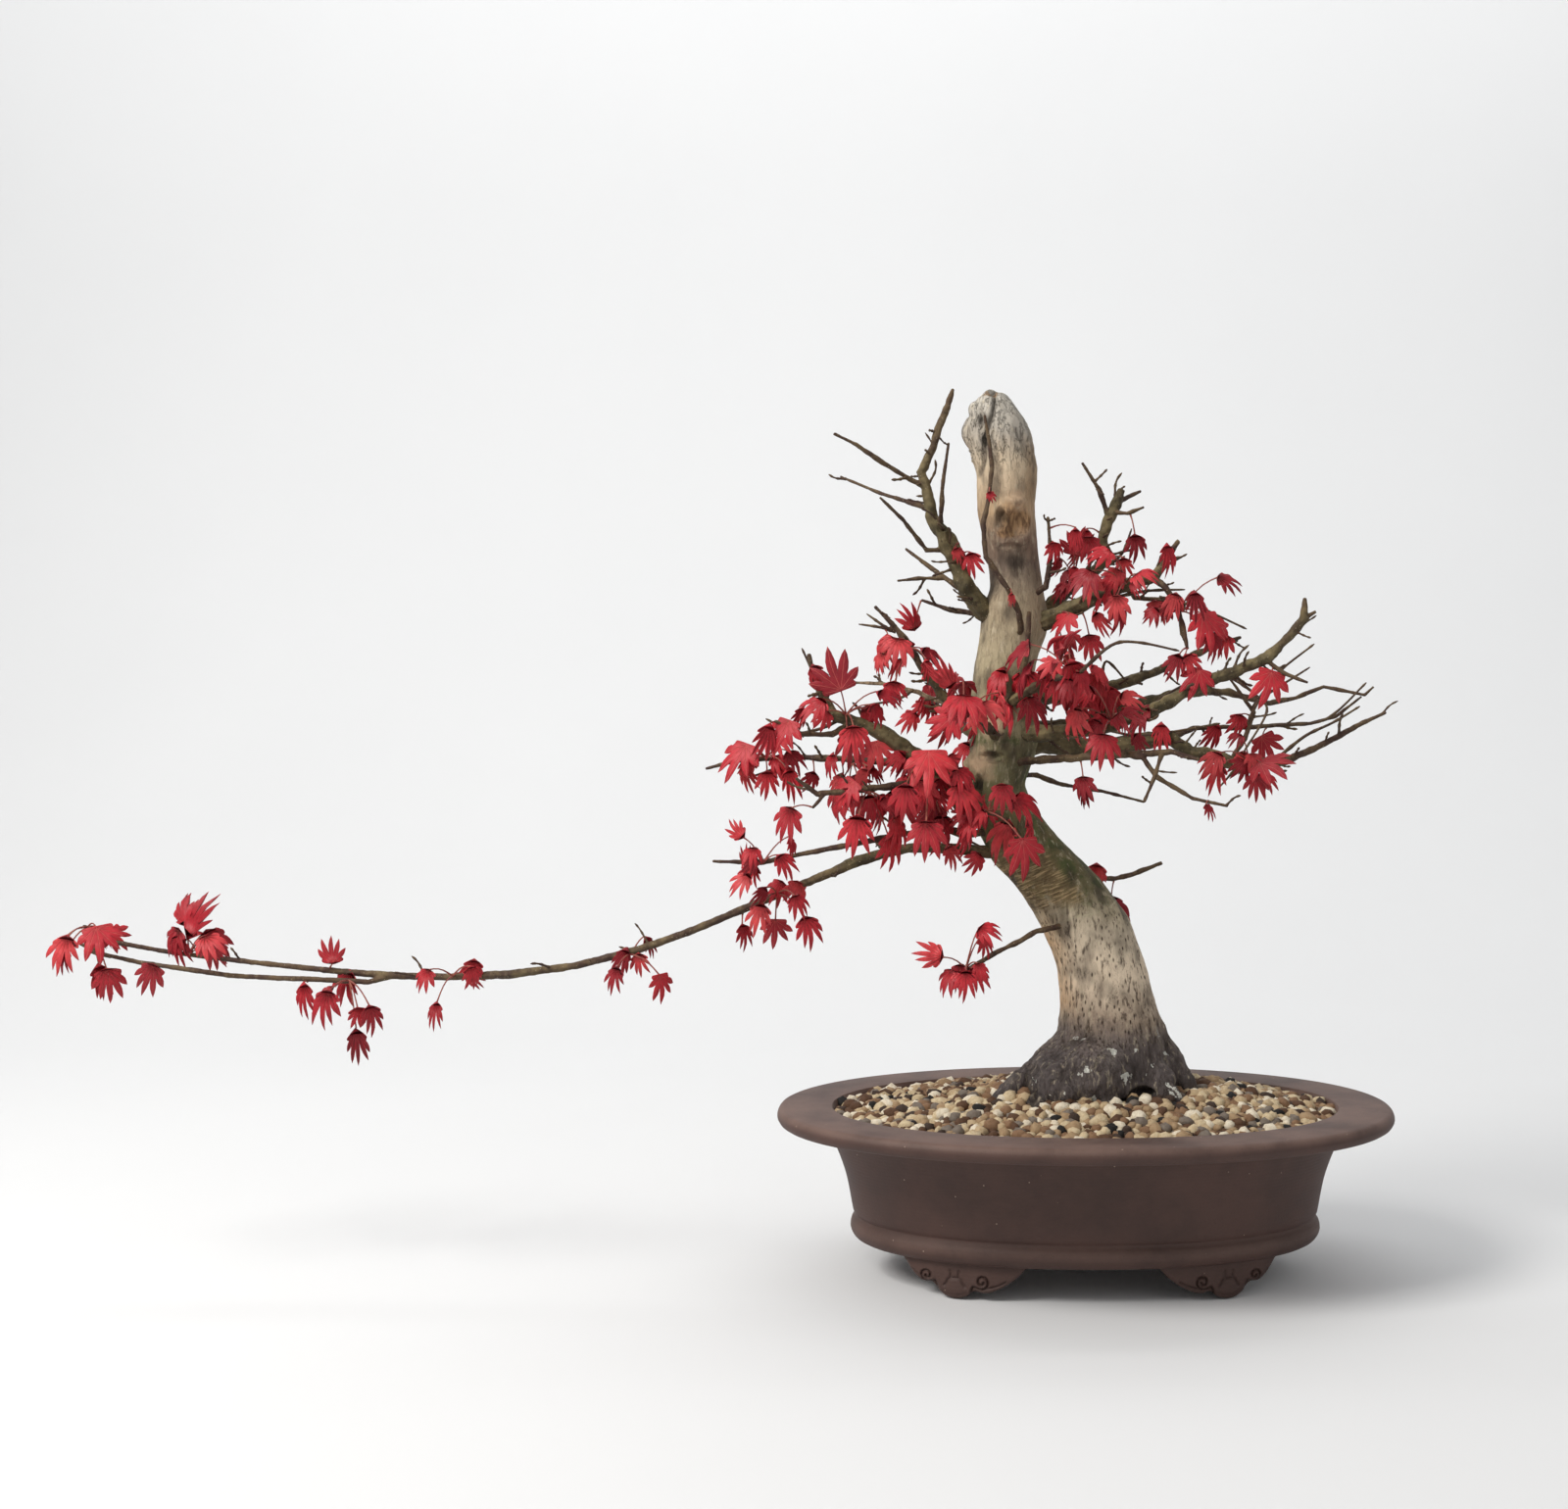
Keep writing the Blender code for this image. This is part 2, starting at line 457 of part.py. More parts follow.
def foot_mesh(side_x, side_y):
    """A cloud foot: a band of the oval whose lower edge runs in lobes down to a flat tip."""
    lobes = [
        (-34, 1.0), (-27, 0.74), (-22, 0.58), (-14, 0.46), (-9.5, 0.22), (-5, 0), (5, 0), (11, 0.18),
        (17, 0.27),
        (28, 0.33), (37, 0.58), (42, 0.70), (46, 1.0),
    ]
    top = FOOT_HEIGHT + FLOOR / 4
    outer, inner = 0.0575, 0.0575 + FOOT_DEPTH
    shape = bmesh.new()
    rows = []
    for step, share in lobes:
        x = FOOT_PLACE - step * MM
        low = share * FOOT_HEIGHT
        place_x = POT_CENTRE_X + side_x * x
        ends = [(outer, top), (outer, low), (inner, low), (inner, top)]
        rows.append([shape.verts.new((place_x, side_y * oval_depth(offset, x), z)) for offset, z in ends])
    for row, after in zip(rows, rows[1:]):
        for k in range(4):
            shape.faces.new((row[k], after[k], after[(k + 1) % 4], row[(k + 1) % 4]))
    shape.faces.new(rows[0])
    shape.faces.new(rows[-1][::-1])
    return mesh_of(shape)


def make_pot():
    rings = [oval(offset, height) for offset, height in outer_profile() + inner_profile()]
    pot = object_of("pot", loft(rings), "clay")
    feet = [object_of("foot", foot_mesh(side_x, side_y)) for side_x in (-1, 1) for side_y in (-1, 1)]
    combine(pot, feet, "UNION")
    holes = []
    through = (FOOT_HEIGHT - 0.004, FOOT_HEIGHT + FLOOR + 0.004)
    for side in (-1, 1):
        drain_x = POT_CENTRE_X + side * DRAIN_SPACING / 2
        holes.append(object_of("drain_hole", cylinder(drain_x, 0, *through, DRAIN_DIAMETER, 20)))
        for end in (-1, 1):
            tie = tie_place(side, end)
            holes.append(object_of("tie_hole", cylinder(*tie, *through, TIE_HOLE_DIAMETER, 8)))
    combine(pot, holes, "DIFFERENCE")


def tie_place(side, end):
    """The place of one tie hole, between a drain screen and the middle of the pot."""
    return POT_CENTRE_X + side * (DRAIN_SPACING / 2 - SCREEN_SIDE / 2 - TIE_GAP), end * TIE_SPREAD / 2


# What lies in the pot.


def make_screen(name, side):
    """A square of mesh over a drain hole: a grid with every other cell left open."""
    x = POT_CENTRE_X + side * DRAIN_SPACING / 2
    low = FOOT_HEIGHT + FLOOR + CLEARANCE
    shape = bmesh.new()
    bmesh.ops.create_grid(
        shape, x_segments=SCREEN_CELLS, y_segments=SCREEN_CELLS, size=SCREEN_SIDE / 2,
        matrix=Matrix.Translation((x, 0, low)),
    )
    cell = SCREEN_SIDE / SCREEN_CELLS
    open_cells = []
    for face in shape.faces:
        centre = face.calc_center_median()
        column = int((centre.x - x + SCREEN_SIDE / 2) / cell)
        row = int((centre.y + SCREEN_SIDE / 2) / cell)
        if column % 2 and row % 2:
            open_cells.append(face)
    bmesh.ops.delete(shape, geom=open_cells, context="FACES")
    made = bmesh.ops.extrude_face_region(shape, geom=shape.faces[:])
    raised = [item for item in made["geom"] if isinstance(item, bmesh.types.BMVert)]
    bmesh.ops.translate(shape, verts=raised, vec=(0, 0, SCREEN_THICKNESS))
    return object_of(name, mesh_of(shape), "screen")


def tube_mesh(points, sides_setting, extra=0.0):
    """A round stem through (place, radius) pairs, in metres, made fatter all round by an extra."""
    curve = bpy.data.curves.new("stem", "CURVE")
    curve.dimensions = "3D"
    curve.bevel_depth = MM
    curve.bevel_resolution = sides_setting
    curve.use_fill_caps = True
    spline = curve.splines.new("POLY")
    spline.points.add(len(points) - 1)
    for spot, (place, radius) in zip(spline.points, points):
        spot.co = (*place, 1)
        spot.radius = (radius + extra) / MM
    stem = bpy.data.objects.new("stem", curve)
    CUTTERS.objects.link(stem)
    graph = bpy.context.evaluated_depsgraph_get()
    mesh = bpy.data.meshes.new_from_object(stem.evaluated_get(graph))
    bpy.data.objects.remove(stem)
    shape = bmesh.new()
    shape.from_mesh(mesh)
    bmesh.ops.remove_doubles(shape, verts=shape.verts, dist=1e-6)
    return mesh_of(shape)


def wire_route(corners):
    return [(Vector(corner), WIRE_DIAMETER / 2) for corner in corners]


def clip_route(side):
    """A staple of wire over the screen, down through the drain hole and out under the floor."""
    x = POT_CENTRE_X + side * DRAIN_SPACING / 2
    leg = SCREEN_SIDE / SCREEN_CELLS * 2
    over = FOOT_HEIGHT + FLOOR + SCREEN_THICKNESS + CLEARANCE * 3 + WIRE_DIAMETER / 2
    under = FOOT_HEIGHT - CLEARANCE * 2 - WIRE_DIAMETER / 2
    reach = DRAIN_DIAMETER / 2 + 0.008
    return wire_route([
        (x - reach, 0, under), (x - leg - 0.001, 0, under), (x - leg, 0, under + 0.001),
        (x - leg, 0, over - 0.001),
        (x - leg + 0.001, 0, over), (x + leg - 0.001, 0, over), (x + leg, 0, over - 0.001),
        (x + leg, 0, under + 0.001),
        (x + leg + 0.001, 0, under), (x + reach, 0, under),
    ])


def tie_route(side):
    """A wire under the floor, up through two tie holes and over the buried roots towards the trunk."""
    (x, front), (_, back) = tie_place(side, -1), tie_place(side, 1)
    under = FOOT_HEIGHT - CLEARANCE * 2 - WIRE_DIAMETER / 2
    high = soil_top() - 0.012
    lean = side * 0.030
    return wire_route([
        (x + lean, front + 0.004, high + 0.003), (x + lean * 0.5, front, high), (x, front, high - 0.006),
        (x, front, under + 0.001),
        (x, front + 0.001, under), (x, back - 0.001, under), (x, back, under + 0.001),
        (x, back, high - 0.006),
        (x + lean * 0.5, back, high), (x + lean, back - 0.004, high + 0.003),
    ])


def drainage_top():
    return FOOT_HEIGHT + FLOOR + DRAINAGE_DEPTH


def soil_top():
    return POT_HEIGHT - GRAVEL_BELOW_RIM - GRAVEL_DEPTH


def fill_rings(low, high):
    """Rings that fill the inside of the pot between two heights, with the clearance all round."""
    levels = [height for _, height in inner_profile() if low < height < high]
    return [oval(inside_at(height) + CLEARANCE * 1.4, height) for height in sorted([low, high, *levels])]


def make_fillings(wires, wood_fat):
    drainage = object_of("drainage_layer",
                         loft(fill_rings(FOOT_HEIGHT + FLOOR + CLEARANCE, drainage_top())), "gravel")
    recesses = []
    for side in (-1, 1):
        x = POT_CENTRE_X + side * DRAIN_SPACING / 2
        reach = SCREEN_SIDE / 2 + CLEARANCE * 2
        floor = FOOT_HEIGHT + FLOOR
        recesses.append(object_of("recess", box(
            (x - reach, -reach, floor - 0.001),
            (x + reach, reach, floor + SCREEN_THICKNESS + WIRE_DIAMETER + 0.0015))))
    combine(drainage, recesses + wires, "DIFFERENCE")
    soil = object_of("soil", loft(fill_rings(drainage_top() + CLEARANCE, soil_top())), "soil")
    combine(soil, wires + wood_fat, "DIFFERENCE")
    edge = POT_HEIGHT - GRAVEL_BELOW_RIM
    rings = fill_rings(soil_top() + CLEARANCE, edge)
    offset = inside_at(edge)
    mound_x = POT_CENTRE_X + ROUTES["trunk"][0][0] * MM
    for share in (0.22, 0.48, 0.75, 1.0):
        half_length = (POT_LENGTH / 2 - offset) * (1 - share) + MOUND_LENGTH / 2 * share
        half_depth = (POT_DEPTH / 2 - offset) * (1 - share) + MOUND_DEPTH / 2 * share
        centre_x = POT_CENTRE_X * (1 - share) + mound_x * share
        rings.append(oval_ring(half_length, half_depth, edge + MOUND_RISE * share**1.1, centre_x))
    gravel = object_of("gravel", loft(rings), "gravel")
    combine(gravel, wires + wood_fat, "DIFFERENCE")


# The wood.


def smooth_route(name, step):
    """The route as (place, radius) pairs in metres, on a Catmull-Rom curve through its points."""
    points = [(TREE_ZERO + Vector(point[:3]) * MM * TREE_SCALE,
               point[3] * MM * TREE_SCALE) for point in ROUTES[name]]
    places, radii = [place for place, _ in points], [radius for _, radius in points]
    made = []
    for k in range(len(points) - 1):
        before, after = places[max(k - 1, 0)], places[min(k + 2, len(points) - 1)]
        here, there = places[k], places[k + 1]
        count = max(1, round((there - here).length / step))
        for part in range(count):
            t = part / count
            place = 0.5 * (
                2 * here + (there - before) * t + (2 * before - 5 * here + 4 * there - after) * t**2
                + (3 * here - before - 3 * there + after) * t**3
            )
            made.append((place, radii[k] + (radii[k + 1] - radii[k]) * t))
    return made + [points[-1]]


def route_settings(name):
    """The spacing of the rings along a route, and the curve's resolution round it."""
    if name == "trunk":
        return 0.016, 6
    if name.startswith("root_") or name == "burl":
        return 0.022, 2
    if ROUTES[name][0][3] > 5.5:
        return 0.022, 2
    return 0.030, 1


def route_meshes(piece, extra):
    made = []
    for name in WOOD[piece][0]:
        step, sides = route_settings(name)
        made.append(tube_mesh(smooth_route(name, step), sides, extra))
    return made


def make_wood():
    """Every piece of wood, and for each the fat copies of its routes that cut what grows from it."""
    pieces, fat = {}, {}
    for name, (routes, parent) in WOOD.items():
        stems = route_meshes(name, 0)
        finish = "bark" if name == "trunk" else "deadwood" if name == "dead_twig" else "twig"
        piece = object_of(name, stems[0], finish)
        combine(piece, [object_of("stem", mesh) for mesh in stems[1:]], "UNION")
        fat[name] = [object_of("fat_" + name, mesh) for mesh in route_meshes(name, CLEARANCE * 1.6)]
        if parent:
            combine(piece, fat[parent], "DIFFERENCE")
        pieces[name] = piece
    return pieces, fat


# The leaves.


def blade_mesh(size, thickness):
    """A maple blade of five lobes, flat, with its base at zero and its middle lobe along +Y."""
    lobes = [(96, 0.60), (44, 0.90), (0, 1.0), (-44, 0.90), (-96, 0.60)]
    notches = [(70, 0.27), (22, 0.33), (-22, 0.33), (-70, 0.27)]
    outline = [(180, 0.07)]
    for k, lobe in enumerate(lobes):
        outline.append(lobe)
        outline.extend(notches[k : k + 1])
    shape = bmesh.new()
    corners = []
    for turn, reach in outline:
        angle = math.radians(turn)
        corners.append(shape.verts.new((-math.sin(angle) * reach * size, math.cos(angle) * reach * size,
                                        -thickness / 2)))
    face = shape.faces.new(corners)
    made = bmesh.ops.extrude_face_region(shape, geom=[face])
    raised = [item for item in made["geom"] if isinstance(item, bmesh.types.BMVert)]
    bmesh.ops.translate(shape, verts=raised, vec=(0, 0, thickness))
    return mesh_of(shape)


def rod_mesh(start, end, radius, sides=3):
    shape = bmesh.new()
    run = end - start
    turn = run.to_track_quat("Z", "Y").to_matrix().to_4x4()
    bmesh.ops.create_cone(
        shape, cap_ends=True, segments=sides, radius1=radius, radius2=radius, depth=run.length,
        matrix=Matrix.Translation((start + end) / 2) @ turn,
    )
    return mesh_of(shape)


def moved(mesh, matrix):
    mesh.transform(matrix)
    return mesh


def tree_of(mesh):
    return BVHTree.FromPolygons([v.co.copy() for v in mesh.vertices],
                                [list(p.vertices) for p in mesh.polygons])


def leaf_frame(base, direction, hang):
    """The blade's place: its middle lobe leans from the stalk's line down, its face looks out and up."""
    along = (direction * (1 - hang) + Vector((0, 0, -1)) * hang).normalized()
    outward = Vector((direction.x * 0.7, direction.y - 0.5, 0.35)).normalized()
    across = along.cross(outward)
    if across.length < 0.05:
        across = along.cross(Vector((1, 0, 0)))
    across.normalize()
    face = across.cross(along)
    turn = Matrix((across, along, face)).transposed().to_4x4()
    return Matrix.Translation(base) @ turn


def route_spot(route, share):
    """The place, direction and radius at a share of a route's length."""
    points = smooth_route(route, 0.004)
    lengths = [0.0]
    for (here, _), (there, _) in zip(points, points[1:]):
        lengths.append(lengths[-1] + (there - here).length)
    wanted = share * lengths[-1]
    k = max(index for index, length in enumerate(lengths[:-1]) if length <= wanted)
    here, there = points[k], points[k + 1]
    return here[0], (there[0] - here[0]).normalized(), here[1]


def spur_of(name):
    """Where a spray grows: the place on its route, the route's line there, the way out and the radius."""
    _, route, share, hint, _, _ = SPRAYS[name]
    place, along, radius = route_spot(route, share)
    out = Vector(hint)
    return place, along, (out - along * out.dot(along)).normalized(), radius


def spur_mesh(name, fatness):
    place, _, out, radius = spur_of(name)
    return rod_mesh(place + out * radius * 0.6, place + out * (radius + SPUR_LENGTH), SPUR_RADIUS * fatness,
                    6)


def make_spray(name, parent_fat, placed):
    """A spur with its leaves, each turned round the spur until it is clear of all that stands already."""
    parent, _, _, _, count, size_mm = SPRAYS[name]
    place, along, out, radius = spur_of(name)
    side = along.cross(out)
    parts = [spur_mesh(name, 1)]
    root = place + out * (radius + SPUR_LENGTH * 0.66)
    for k in range(count):
        size = size_mm * MM * TREE_SCALE * (1, 0.84, 0.93, 0.72, 0.88)[k]
        shortest = (0.016 + 0.006 * (k % 3)) * TREE_SCALE
        for attempt in range(120):
            stalk = shortest * (1 + 0.35 * (attempt // 40))
            turn = 2 * math.pi * (k / count + attempt * 0.083) + 0.6
            lean = (0.75, 1.0, 0.6, 0.9)[(k + attempt) % 4]
            around = along * math.cos(turn) + side * math.sin(turn)
            direction = (out * math.cos(lean) + around * math.sin(lean) + Vector((0, 0, -0.12))).normalized()
            end = root + direction * stalk
            upright = k == 0 and out.z > 0.4
            frame = leaf_frame(end, direction, 0.1 if upright else (0.62, 0.78, 0.5)[(k + attempt) % 3])
            into_blade = frame @ Vector((0, STALK_OVERLAP * size, 0))
            thick_blade = moved(blade_mesh(size * 1.06, LEAF_THICKNESS * 4), frame)
            if clear_of(thick_blade, root, into_blade, placed, parts[1:], parent):
                break
        else:
            print(name, "leaf", k, "found no clear place")
            continue
        parts.append(moved(blade_mesh(size, LEAF_THICKNESS), frame))
        parts.append(rod_mesh(root - direction * STALK_RADIUS, into_blade, STALK_RADIUS))
    spray = object_of(name, parts[0], "leaf")
    combine(spray, [object_of("leaf", part) for part in parts[1:]], "UNION")
    combine(spray, parent_fat, "DIFFERENCE")
    return spray


def clear_of(blade, root, end, placed, own_parts, parent):
    """Whether a thickened blade and its stalk meet nothing that stands already, nor their own spray."""
    blade_tree = tree_of(blade)
    stalk_tree = tree_of(rod_mesh(root, end, STALK_RADIUS * 2.2))
    outer_stalk_tree = tree_of(rod_mesh(root + (end - root) * 0.25, end, STALK_RADIUS * 2.2))
    for name, tree in placed.items():
        if blade_tree.overlap(tree) or (outer_stalk_tree if name == parent else stalk_tree).overlap(tree):
            return False
    for k, part in enumerate(own_parts):
        tree = tree_of(part)
        if blade_tree.overlap(tree) or (k % 2 == 0 and outer_stalk_tree.overlap(tree)):
            return False
    return True


def main():
    make_pot()
    make_screen("drain_screen_left", -1)
    make_screen("drain_screen_right", 1)
    fat_wires = []
    for name, route in (
        ("screen_clip_left", clip_route(-1)), ("screen_clip_right", clip_route(1)),
        ("tie_wire_left", tie_route(-1)), ("tie_wire_right", tie_route(1)),
    ):
        object_of(name, tube_mesh(route, 1), "wire")
        if name.startswith("tie"):
            fat_wires.append(object_of("fat_" + name, tube_mesh(route, 1, CLEARANCE * 1.6)))
    wood, fat_wood = make_wood()
    make_fillings(fat_wires, fat_wood["trunk"])
    placed = {}
    for piece in list(wood.values()) + [bpy.data.objects["pot"], bpy.data.objects["gravel"]]:
        placed[piece.name] = tree_of(piece.data)
    for name in SPRAYS:
        placed[name] = tree_of(spur_mesh(name, 1.3))
    for name in SPRAYS:
        del placed[name]
        placed[name] = tree_of(make_spray(name, fat_wood[SPRAYS[name][0]], placed).data)
    for piece in PIECES.objects:
        piece.data.shade_smooth()
        piece.data.set_sharp_from_angle(angle=math.radians(35))


clear_scene()
PIECES = new_collection("bonsai")
CUTTERS = new_collection("cutters")
main()
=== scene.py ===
# %% [markdown]
# # A cascade maple bonsai in an oval clay pot
# This notebook dresses a measured model of a small maple tree: the pot, the gravel, the trunk, the branches
# and the red spring leaves. The measured model gives every place and size. Each section below says what the
# real piece is, how it could be made, and why one way was chosen.

# %% Load the measured model
import json
import math
import random

import bmesh
import bpy
import numpy as np
from mathutils import Matrix, Vector, noise
from mathutils.bvhtree import BVHTree
from mathutils.kdtree import KDTree

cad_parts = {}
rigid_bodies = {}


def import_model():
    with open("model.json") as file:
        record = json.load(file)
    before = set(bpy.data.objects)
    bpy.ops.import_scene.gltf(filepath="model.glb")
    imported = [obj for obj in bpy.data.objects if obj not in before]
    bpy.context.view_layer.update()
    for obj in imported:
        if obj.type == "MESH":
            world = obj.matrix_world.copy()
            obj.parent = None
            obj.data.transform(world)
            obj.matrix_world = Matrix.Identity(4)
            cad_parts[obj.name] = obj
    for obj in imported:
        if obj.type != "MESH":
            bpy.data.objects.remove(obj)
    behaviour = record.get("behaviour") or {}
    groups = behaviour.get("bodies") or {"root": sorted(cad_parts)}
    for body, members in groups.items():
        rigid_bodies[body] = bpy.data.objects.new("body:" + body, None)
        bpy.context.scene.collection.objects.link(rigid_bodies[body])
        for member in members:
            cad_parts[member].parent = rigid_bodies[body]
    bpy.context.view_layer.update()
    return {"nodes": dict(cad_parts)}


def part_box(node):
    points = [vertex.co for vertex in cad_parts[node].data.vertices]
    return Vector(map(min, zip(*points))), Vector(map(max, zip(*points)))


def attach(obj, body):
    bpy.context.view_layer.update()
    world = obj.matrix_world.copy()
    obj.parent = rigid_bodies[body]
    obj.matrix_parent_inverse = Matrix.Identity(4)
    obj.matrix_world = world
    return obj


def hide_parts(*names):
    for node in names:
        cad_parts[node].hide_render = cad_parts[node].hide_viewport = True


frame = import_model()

MM = 0.001
NODES = frame["nodes"]
LEAF_NODES = sorted(name for name in NODES if name.endswith("_leaves") or name.startswith("trailing_leaves"))
FILLINGS = ("drainage_layer", "soil", "gravel")
FITTINGS = ("drain_screen_left", "drain_screen_right", "screen_clip_left", "screen_clip_right",
            "tie_wire_left", "tie_wire_right")
BRANCHES = sorted(set(NODES) - set(LEAF_NODES) - set(FILLINGS) - set(FITTINGS) - {"pot", "trunk"})
print(f"{len(NODES)} solids: {len(BRANCHES)} branches, {len(LEAF_NODES)} sprays of leaves")

# %% [markdown]
# ## Tools for the work
# A piece is shaped in edit mode, where an operator acts on what is selected. So these helpers select one
# object, select parts of its mesh by their place, and apply a modifier once it is set.

# %% Selecting and applying
def only(*objects):
    """Selects these objects and nothing else."""
    if bpy.context.mode != "OBJECT":
        bpy.ops.object.mode_set(mode="OBJECT")
    bpy.ops.object.select_all(action="DESELECT")
    for piece in objects:
        piece.select_set(True)
    bpy.context.view_layer.objects.active = objects[0]
    return objects[0]


def added(name):
    """The object that an operator has just added, with a name of its own."""
    piece = bpy.context.active_object
    piece.name = piece.data.name = name
    return piece


def edit(piece):
    only(piece)
    bpy.ops.object.mode_set(mode="EDIT")
    bpy.ops.mesh.select_mode(type="VERT")


def pick(piece, chosen, kind="VERT"):
    """In edit mode, selects the vertices, edges or faces for which chosen(place) is true."""
    bpy.ops.mesh.select_mode(type=kind)
    bpy.ops.mesh.select_all(action="DESELECT")
    shape = bmesh.from_edit_mesh(piece.data)
    for vertex in shape.verts:
        if kind == "VERT":
            vertex.select = bool(chosen(vertex.co))
    for edge in shape.edges:
        if kind == "EDGE":
            edge.select = bool(chosen((edge.verts[0].co + edge.verts[1].co) / 2))
    for face in shape.faces:
        if kind == "FACE":
            face.select = bool(chosen(face.calc_center_median()))
    shape.select_flush_mode()
    bmesh.update_edit_mesh(piece.data)


def use(piece, kind, **settings):
    """Adds a modifier, sets it and applies it."""
    only(piece)
    modifier = piece.modifiers.new(kind.title(), kind)
    for name, value in settings.items():
        setattr(modifier, name, value)
    bpy.ops.object.modifier_apply(modifier=modifier.name)


def smooth(piece, degrees=None):
    only(piece)
    if degrees is None:
        bpy.ops.object.shade_smooth()
    else:
        bpy.ops.object.shade_smooth_by_angle(angle=math.radians(degrees))


def settle(piece):
    """Puts an object's place into its mesh, so that its patterns stay where they are."""
    only(piece)
    bpy.ops.object.transform_apply(location=True, rotation=True, scale=True)


def points_of(piece):
    co = np.empty(len(piece.data.vertices) * 3)
    piece.data.vertices.foreach_get("co", co)
    return co.reshape(-1, 3)


def normals_of(piece):
    normal = np.empty(len(piece.data.vertices) * 3)
    piece.data.vertex_normals.foreach_get("vector", normal)
    return normal.reshape(-1, 3)


def move_points(piece, places):
    piece.data.vertices.foreach_set("co", np.asarray(places, np.float32).reshape(-1))
    piece.data.update()


def paint(piece, name, values):
    """Stores one number for each vertex, which a finish can read."""
    layer = piece.data.attributes.get(name) or piece.data.attributes.new(name, "FLOAT", "POINT")
    layer.data.foreach_set("value", np.asarray(values, np.float32))


def copy_of(node, name):
    """A copy of a measured solid to work on, with its loose triangles merged."""
    piece = NODES[node].copy()
    piece.data = NODES[node].data.copy()
    piece.name = piece.data.name = name
    piece.parent = None
    for key in list(piece.keys()):
        del piece[key]
    bpy.context.scene.collection.objects.link(piece)
    piece.data.materials.clear()
    edit(piece)
    bpy.ops.mesh.select_all(action="SELECT")
    bpy.ops.mesh.remove_doubles(threshold=1e-6)
    bpy.ops.object.mode_set(mode="OBJECT")
    return piece


def surface_of(piece):
    return BVHTree.FromPolygons([v.co for v in piece.data.vertices], [p.vertices for p in piece.data.polygons])


def triangles_in(piece):
    return sum(len(face.vertices) - 2 for face in piece.data.polygons)


bpy.ops.object.select_all(action="DESELECT")
print("helpers ready")

# %% [markdown]
# ## Writing finishes as sums
# A finish is a small tree of nodes. Wrapping a socket in a class with Python's own signs lets a pattern be
# written as a sum, such as 1 - spots * 0.4, and each sign adds its Math node.

# %% A socket with signs, and a finish
class Signal:
    """One output of a node. Its signs add Math nodes to the same finish."""

    def __init__(self, finish, socket):
        self.finish = finish
        self.socket = socket

    def math(self, operation, *values):
        return self.finish.node("ShaderNodeMath", {"operation": operation}, dict(enumerate(values)))

    def __add__(self, other):
        return self.math("ADD", self, other)

    def __radd__(self, other):
        return self.math("ADD", other, self)

    def __sub__(self, other):
        return self.math("SUBTRACT", self, other)

    def __rsub__(self, other):
        return self.math("SUBTRACT", other, self)

    def __mul__(self, other):
        return self.math("MULTIPLY", self, other)

    def __rmul__(self, other):
        return self.math("MULTIPLY", other, self)

    def __truediv__(self, other):
        return self.math("DIVIDE", self, other)

    def __abs__(self):
        return self.math("ABSOLUTE", self)

    def sine(self):
        return self.math("SINE", self)

    def between(self, low, high):
        """0 at low, 1 at high, and smooth on the way."""
        ends = {0: self, 1: low, 2: high, 3: 0.0, 4: 1.0}
        return self.finish.node("ShaderNodeMapRange", {"interpolation_type": "SMOOTHSTEP"}, ends)


